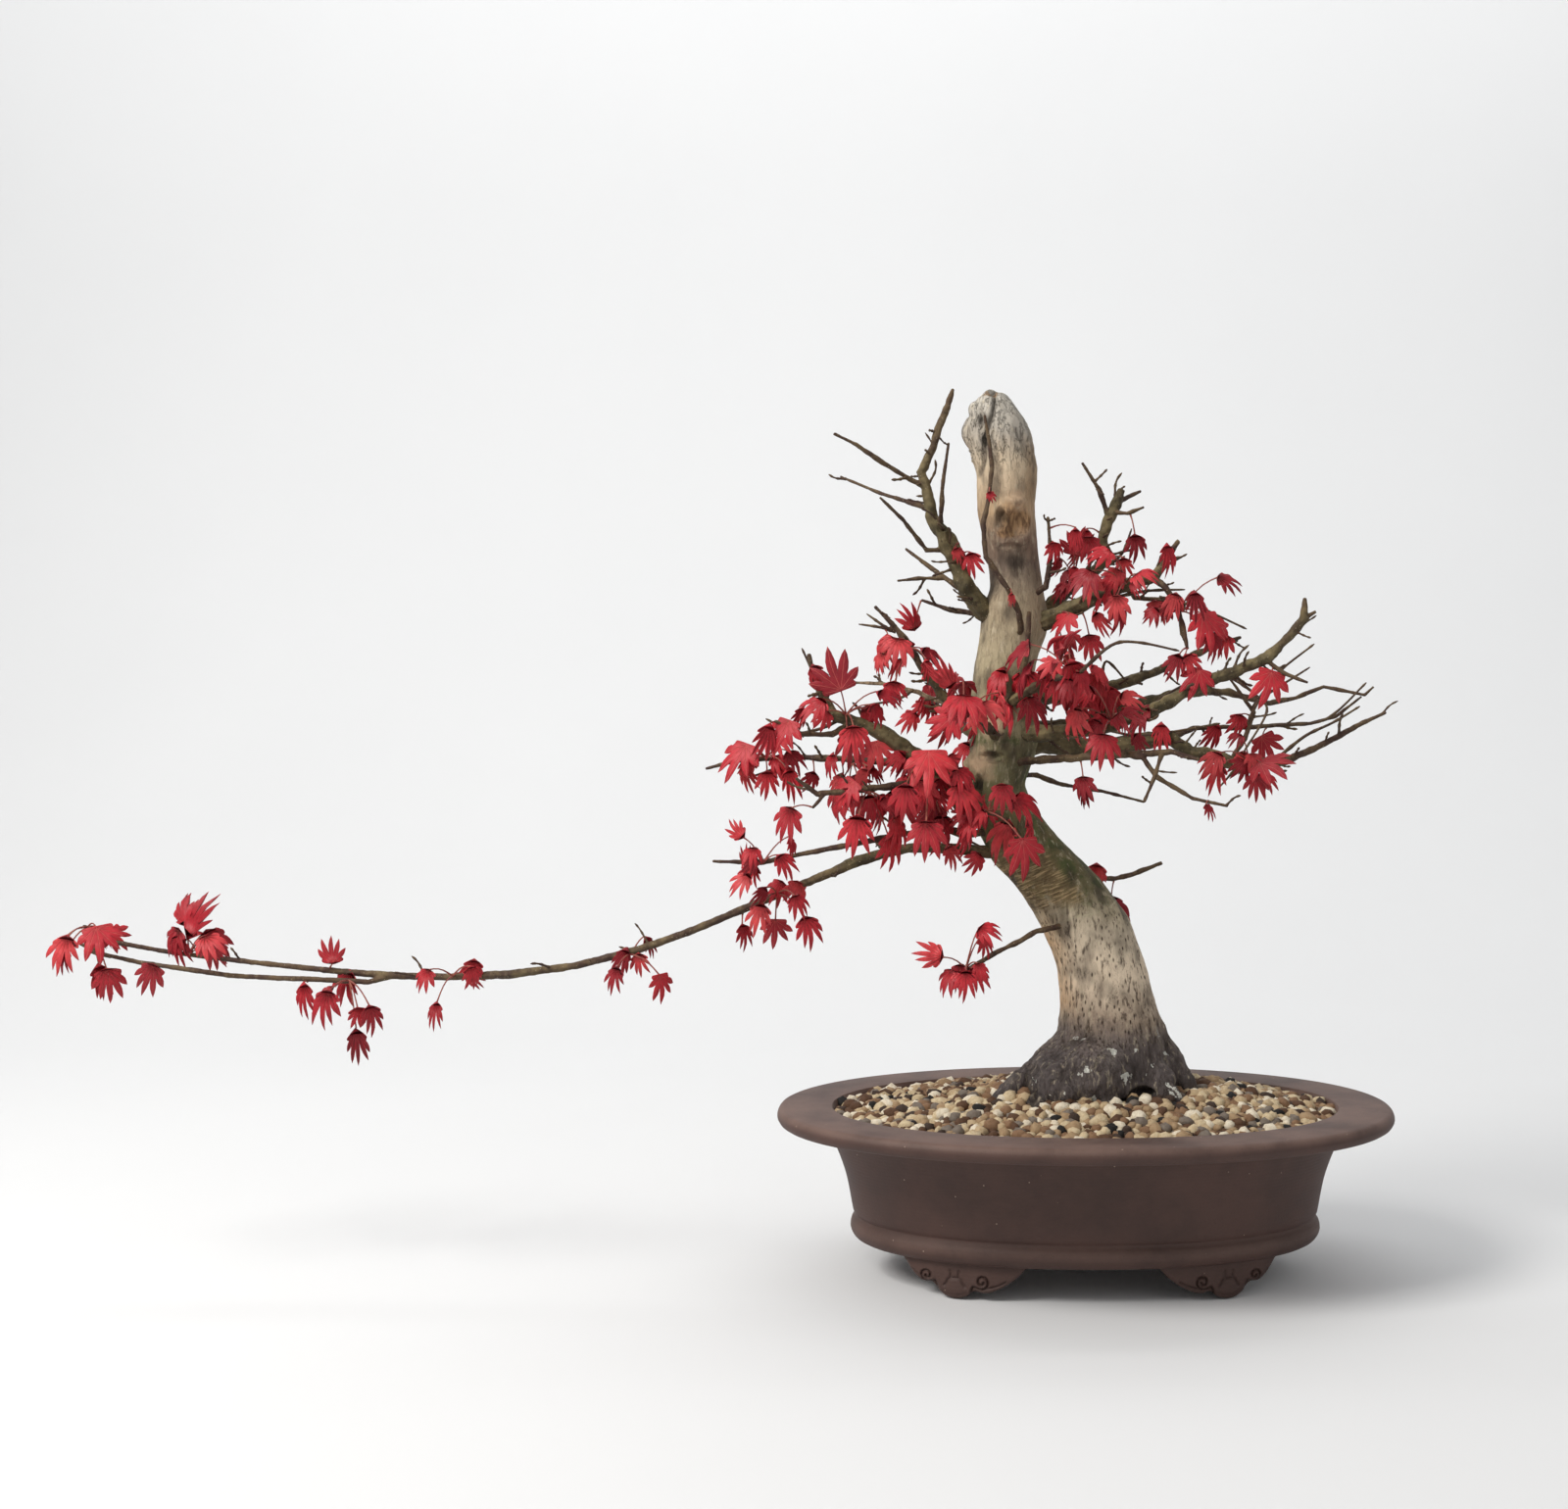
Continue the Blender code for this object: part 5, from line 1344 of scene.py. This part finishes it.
# %% [markdown]
# ## One leaf
# A Japanese maple leaf has seven narrow lobes that meet at its base, like an open hand. A disc of triangles
# makes the palm, and the edge of each lobe is extruded along its own direction, wide and then narrow, and
# merged at its point. The flat leaf is then folded along its veins and bent down, in five ways, and given a
# paper's thickness.

# %% The flat leaf
LOBE_TURNS = (-102, -67, -33, 0, 33, 67, 102)
LOBE_REACH = (0.42, 0.72, 0.92, 1.0, 0.92, 0.72, 0.42)
PALM = 0.40
LOBE_ROWS = ((0.24, 1.16), (0.52, 1.06), (0.80, 0.60))


def heading_of(turn):
    return Vector((math.sin(math.radians(turn)), math.cos(math.radians(turn)), 0))


def palm_rim():
    """The rim of the palm in order: a notch, a lobe's middle, a notch, and so on."""
    rim = []
    for k, turn in enumerate(LOBE_TURNS):
        before = LOBE_TURNS[k - 1] if k else turn - 34
        share = PALM if k else PALM * 0.62
        rim.append(heading_of((turn + before) / 2) * share)
        rim.append(heading_of(turn) * (PALM * 1.12 * (0.7 + 0.3 * LOBE_REACH[k])))
    rim.append(heading_of(LOBE_TURNS[-1] + 17) * PALM * 0.62)
    return rim


def make_flat_leaf():
    rim = palm_rim()
    bpy.ops.mesh.primitive_circle_add(vertices=len(rim), radius=1, fill_type="TRIFAN")
    leaf = added("flat_leaf")
    places = [Vector(vertex.co) for vertex in leaf.data.vertices]
    order = sorted((k for k, place in enumerate(places) if place.length > 0.5),
                   key=lambda k: math.atan2(places[k].x, places[k].y + 1e-9))
    moved = [Vector((0, -0.02, 0))] * len(places)
    for k, place in zip(order, rim):
        moved[k] = place
    move_points(leaf, moved)
    edit(leaf)
    for k, (turn, reach) in enumerate(zip(LOBE_TURNS, LOBE_REACH)):
        ends = rim[2 * k:2 * k + 3]
        forward = heading_of(turn)
        pick(leaf, lambda co: any((co - end).length < 1e-5 for end in ends))
        bpy.ops.mesh.select_mode(type="EDGE")
        shape = bmesh.from_edit_mesh(leaf.data)
        for edge in shape.edges:
            edge.select = all(any((v.co - end).length < 1e-5 for end in ends) for v in edge.verts)
        bmesh.update_edit_mesh(leaf.data)
        along, width = PALM * 0.9, 1.0
        for share, wide in LOBE_ROWS:
            next_along = PALM * 0.9 + (reach - PALM * 0.9) * share
            bpy.ops.mesh.extrude_edges_move(TRANSFORM_OT_translate={"value": forward * (next_along - along)})
            chosen = [v for v in bmesh.from_edit_mesh(leaf.data).verts if v.select]
            for vertex in chosen:
                off = vertex.co - forward * vertex.co.dot(forward)
                ahead = next_along + (vertex.co.dot(forward) - next_along) * 0.3
                vertex.co = forward * ahead + off * (wide / width)
            width = wide
            along = next_along
            bmesh.update_edit_mesh(leaf.data)
        bpy.ops.mesh.extrude_edges_move(TRANSFORM_OT_translate={"value": forward * (reach - along)})
        bpy.ops.mesh.merge(type="CENTER")
    bpy.ops.mesh.select_all(action="SELECT")
    bpy.ops.mesh.normals_make_consistent(inside=False)
    bpy.ops.object.mode_set(mode="OBJECT")
    return leaf


flat_leaf = make_flat_leaf()
print("flat leaf:", len(flat_leaf.data.polygons), "faces, lobe tips at",
      round(float(points_of(flat_leaf)[:, 1].max()), 3))


# %% Leaves bent five ways
def leaf_veins(leaf):
    """A UV map with u across each lobe and v along it, for the veins."""
    layer = leaf.data.uv_layers.new(name="veins")
    headings = np.array([heading_of(turn) for turn in LOBE_TURNS])[:, :2]
    co = points_of(leaf)[:, :2]
    for face in leaf.data.polygons:
        middle = co[list(face.vertices)].mean(0)
        lobe = int(np.argmax(headings @ middle))
        forward = headings[lobe]
        side = np.array((forward[1], -forward[0]))
        for corner, vertex in zip(face.loop_indices, face.vertices):
            layer.data[corner].uv = (0.5 + float(co[vertex] @ side) * 2, float(co[vertex] @ forward))


def place_of(numbers):
    return Vector(tuple(float(number) for number in numbers))


def make_leaf(name, droop, fold, close, seed):
    """A bent leaf one metre long. Close draws its lobes together, as on a leaf that hangs."""
    draw = random.Random(seed)
    leaf = flat_leaf.copy()
    leaf.data = flat_leaf.data.copy()
    leaf.name = name
    bpy.context.scene.collection.objects.link(leaf)
    leaf_veins(leaf)
    bends = [draw.uniform(0.8, 1.25) for _ in LOBE_TURNS]
    sways = [draw.uniform(-0.12, 0.12) for _ in LOBE_TURNS]
    lengths = [draw.uniform(0.9, 1.05) for _ in LOBE_TURNS]
    places = []
    for place in points_of(leaf):
        reach = float(np.hypot(place[0], place[1]))
        turn = math.degrees(math.atan2(place[0], place[1]))
        lobe = int(np.argmin([abs(turn - each) for each in LOBE_TURNS]))
        off = math.sin(math.radians(turn - LOBE_TURNS[lobe])) * reach
        angle = math.radians(turn * close) + sways[lobe] * reach**2
        bend = droop * bends[lobe]
        arc = bend * reach * 1.35
        out = reach * lengths[lobe] * (math.sin(arc) / arc if arc > 1e-4 else 1)
        sink = reach * lengths[lobe] * ((1 - math.cos(arc)) / arc if arc > 1e-4 else 0)
        crease = noise.noise(place_of(place) * 5 + Vector((seed * 3.1, 0, 0))) * 0.05 * reach
        height = -sink + abs(off) * fold + crease
        places.append((math.sin(angle) * out, math.cos(angle) * out, height))
    move_points(leaf, places)
    use(leaf, "SOLIDIFY", thickness=0.012, offset=0.0)
    smooth(leaf)
    return leaf


leaf_shapes = [
    make_leaf("leaf_open", 0.30, 0.35, 0.84, 1), make_leaf("leaf_cupped", 0.50, 0.5, 0.66, 2),
    make_leaf("leaf_hanging", 0.55, 0.6, 0.50, 3), make_leaf("leaf_young", 0.35, 0.8, 0.38, 4),
    make_leaf("leaf_crumpled", 0.80, 0.7, 0.60, 6),
]
bpy.data.objects.remove(flat_leaf)
print("a leaf has", len(leaf_shapes[0].data.polygons), "faces")

# %% [markdown]
# ## Where the leaves go
# Each measured spray holds flat five-pointed blades. The five points of a blade are the corners of its
# outline, so fitting them to the known pattern gives back the leaf's base, its direction, its face and its
# size. A bent leaf, a little smaller, is then put in that place. More leaves hang round each spray, and
# single ones beside the shoots.

# %% Reading the blades of a spray
SMALLEST_BLADE = 1.5e-5
WORST_FIT = 0.14
SHORTEST, LONGEST = 0.008, 0.06
BLADE_TIPS = np.array([(-math.sin(math.radians(turn)) * reach, math.cos(math.radians(turn)) * reach)
                       for turn, reach in ((96, 0.60), (44, 0.90), (0, 1.0), (-44, 0.90), (-96, 0.60))])


def flat_patches(piece):
    """Groups of touching faces that lie in one plane and aren't just an edge: their points and their normal."""
    shape = bmesh.new()
    shape.from_mesh(piece.data)
    shape.faces.ensure_lookup_table()
    seen, patches = set(), []
    for face in shape.faces:
        if face.index in seen:
            continue
        seen.add(face.index)
        group, queue = [face], [face]
        while queue:
            for edge in queue.pop().edges:
                for other in edge.link_faces:
                    if other.index not in seen and other.normal.dot(face.normal) > 0.9998:
                        seen.add(other.index)
                        group.append(other)
                        queue.append(other)
        if sum(each.calc_area() for each in group) > SMALLEST_BLADE:
            corners = {vertex.index: vertex.co.copy() for each in group for vertex in each.verts}
            patches.append((list(corners.values()), face.normal.copy()))
    shape.free()
    return patches


def outline_corners(flat):
    """The corners of the convex outline round flat points, with shallow corners left out."""
    order = sorted(map(tuple, flat))
    hull = []
    for points in (order, order[::-1]):
        part = []
        for point in points:
            while len(part) > 1 and ((part[-1][0] - part[-2][0]) * (point[1] - part[-2][1])
                                     - (part[-1][1] - part[-2][1]) * (point[0] - part[-2][0])) <= 0:
                part.pop()
            part.append(point)
        hull += part[:-1]
    while len(hull) > 5:
        heights = []
        for k, point in enumerate(hull):
            before, after = np.array(hull[k - 1]), np.array(hull[(k + 1) % len(hull)])
            run = after - before
            area = run[0] * (point[1] - before[1]) - run[1] * (point[0] - before[0])
            heights.append(abs(area) / np.hypot(*run))
        hull.pop(int(np.argmin(heights)))
    return np.array(hull)


def fitted(tips, pattern):
    """The turn, size and place that carry the pattern onto the tips, with the fault that is left."""
    source, target = pattern - pattern.mean(0), tips - tips.mean(0)
    spread = (source**2).sum()
    a = (source * target).sum() / spread
    b = (source[:, 0] * target[:, 1] - source[:, 1] * target[:, 0]).sum() / spread
    turned = np.c_[a * source[:, 0] - b * source[:, 1], b * source[:, 0] + a * source[:, 1]]
    size = math.hypot(a, b)
    middle = pattern.mean(0)
    base = tips.mean(0) - np.array((a * middle[0] - b * middle[1], b * middle[0] + a * middle[1]))
    return np.linalg.norm(turned - target, axis=1).max() / size, size, (a, b), base


def blades_in(node):
    """The frame of each blade of a spray: base, direction, face and size."""
    spray = copy_of(node, "spray_guide")
    found = []
    for corners, normal in flat_patches(spray):
        if normal.dot(Vector((0, -0.6, 0.5))) < 0:
            continue
        side = normal.orthogonal().normalized()
        up = normal.cross(side)
        middle = sum(corners, Vector()) / len(corners)
        flat = [((corner - middle).dot(side), (corner - middle).dot(up)) for corner in corners]
        hull = outline_corners(flat)
        if len(hull) < 5:
            continue
        fits = [fitted(np.roll(hull, k, axis=0), BLADE_TIPS[::-1]) for k in range(5)]
        fault, size, (a, b), base = min(fits, key=lambda fit: fit[0])
        if fault > WORST_FIT or not SHORTEST < size < LONGEST:
            continue
        along = (side * -b + up * a).normalized()
        found.append((middle + side * base[0] + up * base[1], along, normal, size))
    bpy.data.objects.remove(spray)
    return found


sprays = {node: blades_in(node) for node in LEAF_NODES}
print({node: len(blades) for node, blades in sprays.items()})
print(sum(len(blades) for blades in sprays.values()), "blades")

# %% Stalks and leaves of each spray
def surface_of_all(pieces):
    """One surface to search, made of several pieces."""
    points, faces = [], []
    for piece in pieces:
        shift = len(points)
        points += [vertex.co for vertex in piece.data.vertices]
        faces += [[index + shift for index in face.vertices] for face in piece.data.polygons]
    return BVHTree.FromPolygons(points, faces)


wood_tree = surface_of_all([*branch_pieces.values(), trunk])


def leaf_matrix(base, along, face, size, widen):
    across = along.cross(face).normalized()
    turn = Matrix((across, along, face)).transposed().to_4x4()
    return Matrix.Translation(base) @ turn @ Matrix.Diagonal((size * widen, size, size, 1))


STALK_RADII = (0.0008, 0.0006, 0.00052, 0.0005, 0.0005, 0.0006)


def stalk_line(root, base, along, size):
    """A leaf stalk that leaves the wood and bends over into the leaf."""
    lift = Vector((0, 0, 0.12 * (base - root).length))
    places = bowed(root, base + along * size * 0.02, lift, len(STALK_RADII))
    return list(zip(places, STALK_RADII))


def spray_root(node):
    """Where a measured spray touches the wood."""
    best = []
    for vertex in NODES[node].data.vertices:
        spot, _, _, gap = wood_tree.find_nearest(vertex.co)
        best.append((gap, spot.copy()))
    best.sort(key=lambda pair: pair[0])
    return sum((spot for _, spot in best[:6]), Vector()) / 6


# How often each leaf shape is chosen, in a spray and round it.
SPRAY_SHAPES = (2, 4, 4, 2, 3)
ADDED_SHAPES = (1, 3, 4, 3, 3)
leaf_draw = random.Random(5)
leaf_copies, stalk_lines = {}, []
for node, blades in sprays.items():
    root = spray_root(node)
    copies = []
    for base, along, face, size in blades:
        shape = leaf_draw.choices(leaf_shapes, SPRAY_SHAPES)[0]
        widen = leaf_draw.uniform(0.86, 1.06)
        tint = leaf_draw.random()
        grown = size * leaf_draw.uniform(0.74, 0.98)
        base = base + along * (size - grown) * 0.25
        copies.append((shape, leaf_matrix(base, along, face, grown, widen), tint))
        stalk_lines.append(stalk_line(root, base, along, grown))
    leaf_copies[node] = copies
print(sum(map(len, leaf_copies.values())), "leaves placed")


# %% More leaves round each spray, and on the bare shoots
def hung_leaf(root, base, along, size, draw):
    """One more leaf: its copy and its stalk."""
    face = Vector((draw.uniform(-0.5, 0.5), draw.uniform(-1.0, -0.5), draw.uniform(0.2, 0.8)))
    face = (face - along * face.dot(along)).normalized()
    shape = draw.choices(leaf_shapes, ADDED_SHAPES)[0]
    stalk_lines.append(stalk_line(root, base, along, size))
    return shape, leaf_matrix(base, along, face, size, draw.uniform(0.85, 1.05)), draw.random()


def around(root, count, draw):
    copies = []
    for _ in range(count):
        out = Vector((draw.uniform(-1, 1), draw.uniform(-1, 0.5), draw.uniform(-0.5, 0.7))).normalized()
        base = root + out * draw.uniform(0.006, 0.016)
        hang = Vector((out.x * 0.9, out.y * 0.6, -draw.uniform(0.4, 1.1))).normalized()
        copies.append(hung_leaf(root, base, hang, draw.uniform(0.014, 0.023), draw))
    return copies


ADDED_ON_TRAIL, ADDED_ELSEWHERE = 1, 4
for node, copies in leaf_copies.items():
    count = ADDED_ON_TRAIL if node.startswith("trailing") else ADDED_ELSEWHERE
    copies += around(spray_root(node), count, leaf_draw)

# Across from the pot's middle, height and size of single leaves, in mm. A leaf points down, or up where its
# size is below 0.
LONE_LEAVES = [
    (36, 494, 22), (53, 484, 24), (28, 480, 18), (9, 441, 22), (23, 444, 24), (48, 448, 20), (56, 411, 22),
    (67, 412, 20), (70, 400, 22), (-4, 330, 20), (2, 320, 15), (76, 317, 13), (9, 266, 24), (26, 242, 28),
    (-77, 481, 20), (-86, 487, 14), (-65, 524, 9), (-51, 456, 11), (-21, 488, 18), (-8, 497, 20),
    (2, 500, 18), (-14, 424, 22), (3, 424, 22), (96, 438, 24), (104, 428, 20), (117, 397, 26), (53, 364, 24),
    (130, 355, 22), (107, 371, 20), (90, 364, 24), (-136, 424, 24), (-128, 411, 20), (-119, 446, -24),
    (-180, 404, 22), (-231, 336, 22), (-199, 309, 26), (-226, 284, -18), (-223, 273, 18), (-229, 231, 20),
    (-90, 283, 20), (-76, 278, 18), (-192, 377, 20), (-213, 363, 28), (-202, 366, 24), (-158, 357, 30),
    (-139, 352, 22), (-108, 310, 32), (-125, 317, 36), (-142, 317, 26), (-196, 259, 20), (-209, 260, 20),
    (-95, 367, 28), (-72, 370, 26), (-41, 396, 32), (-20, 394, 26), (-4, 386, 34), (12, 382, 32),
    (-65, 314, 24), (-58, 296, 34), (-50, 322, 22), (-173, 345, 20), (-187, 333, 18), (-168, 331, 22),
    (-152, 336, 20), (-160, 322, 22), (8, 394, 38), (22, 386, 36), (-10, 402, 34), (-28, 402, 30),
    (-60, 400, 30), (-74, 390, 28), (-52, 384, 30), (-36, 380, 28), (34, 376, 28), (-96, 342, 30),
    (-112, 338, 32), (-84, 350, 26), (-30, 446, 20), (-16, 440, 20), (-600, 240, -38), (-588, 222, 32),
    (-612, 222, 26), (-627, 203, 24), (-523, 190, 26), (-500, 196, 28), (-508, 219, -20), (-412, 207, 20),
    (-312, 214, 24), (-300, 212, 18), (-688, 222, 22),
]


def lone_leaf(x, z, size, draw):
    root = wood_beside(x * MM, (z + 8) * MM, -0.02)
    upright = size < 0
    size = abs(size) * MM
    place = Vector((POT_X + x * MM, root.y - 0.006, z * MM))
    aside = (place - root).x
    lean = Vector((aside * 0.5, 0, 0)).normalized() * draw.uniform(0.1, 0.5) if abs(aside) > 1e-4 else Vector()
    sway = Vector((draw.uniform(-0.35, 0.35), 0, 0))
    along = (Vector((0, -0.25, 1.0 if upright else -1.0)) + lean + sway).normalized()
    return hung_leaf(root, place - along * size * 0.42, along, size, draw)


leaf_copies["lone"] = [lone_leaf(*spot, leaf_draw) for spot in LONE_LEAVES]
print(sum(map(len, leaf_copies.values())), "leaves in all")


# %% The leaves' finish
def make_leaf_finish():
    leaf = Finish("crimson_leaf", Roughness=0.5, Specular_IOR_Level=0.4)
    tint = leaf.attribute("tint")
    uv = leaf.node("ShaderNodeUVMap", {"uv_map": "veins"})
    across, along, _ = leaf.split(uv)
    off = abs(across - 0.5)
    patch = leaf.grain(0.006, 3, 0.6)
    base = leaf.ramp(tint, [(0.0, tone(150, 24, 38)), (0.35, tone(188, 32, 46)), (0.7, tone(212, 44, 56)),
                            (1.0, tone(226, 78, 80))])
    base = leaf.mix(patch.between(0.3, 0.75) * 0.4, base, tone(120, 14, 30))
    base = leaf.mix(along.between(0.55, 1.0) * 0.35, base, tone(116, 16, 34))
    vein = 1 - off.between(0.008, 0.03)
    wave = (along * 34 - off * 40).sine()
    rib = wave.between(0.75, 1.0) * (1 - off.between(0.05, 0.3))
    base = leaf.mix(vein * 0.55 + rib * 0.18, base, tone(232, 112, 104))
    leaf.colour(base)
    leaf.roughness(0.42 + 0.2 * patch)
    leaf.relief(vein * -0.8 + rib * -0.4 + patch * 0.4, 0.0004)
    return leaf


leaf_finish = make_leaf_finish()
for node, copies in leaf_copies.items():
    dress(plant(node + "_set", copies), leaf_finish, "leaf", *([node] if node in NODES else []))


# %% The stalks' finish
def make_stalk_finish():
    stalk = Finish("red_stalk", Roughness=0.5)
    patch = stalk.grain(0.004, 3)
    stalk.colour(stalk.mix(patch.between(0.3, 0.7), tone(128, 44, 44), tone(158, 92, 72)))
    stalk.roughness(0.45 + 0.2 * patch)
    stalk.relief(patch, 0.0002)
    return stalk


leaf_stalks = rods("leaf_stalks", stalk_lines, 1)
dress(leaf_stalks, make_stalk_finish(), "leaf")
for shape in leaf_shapes:
    bpy.data.objects.remove(shape)

# %% [markdown]
# ## At the end
# The scene is brought up to date.

# %% Bringing the scene up to date
bpy.context.view_layer.update()
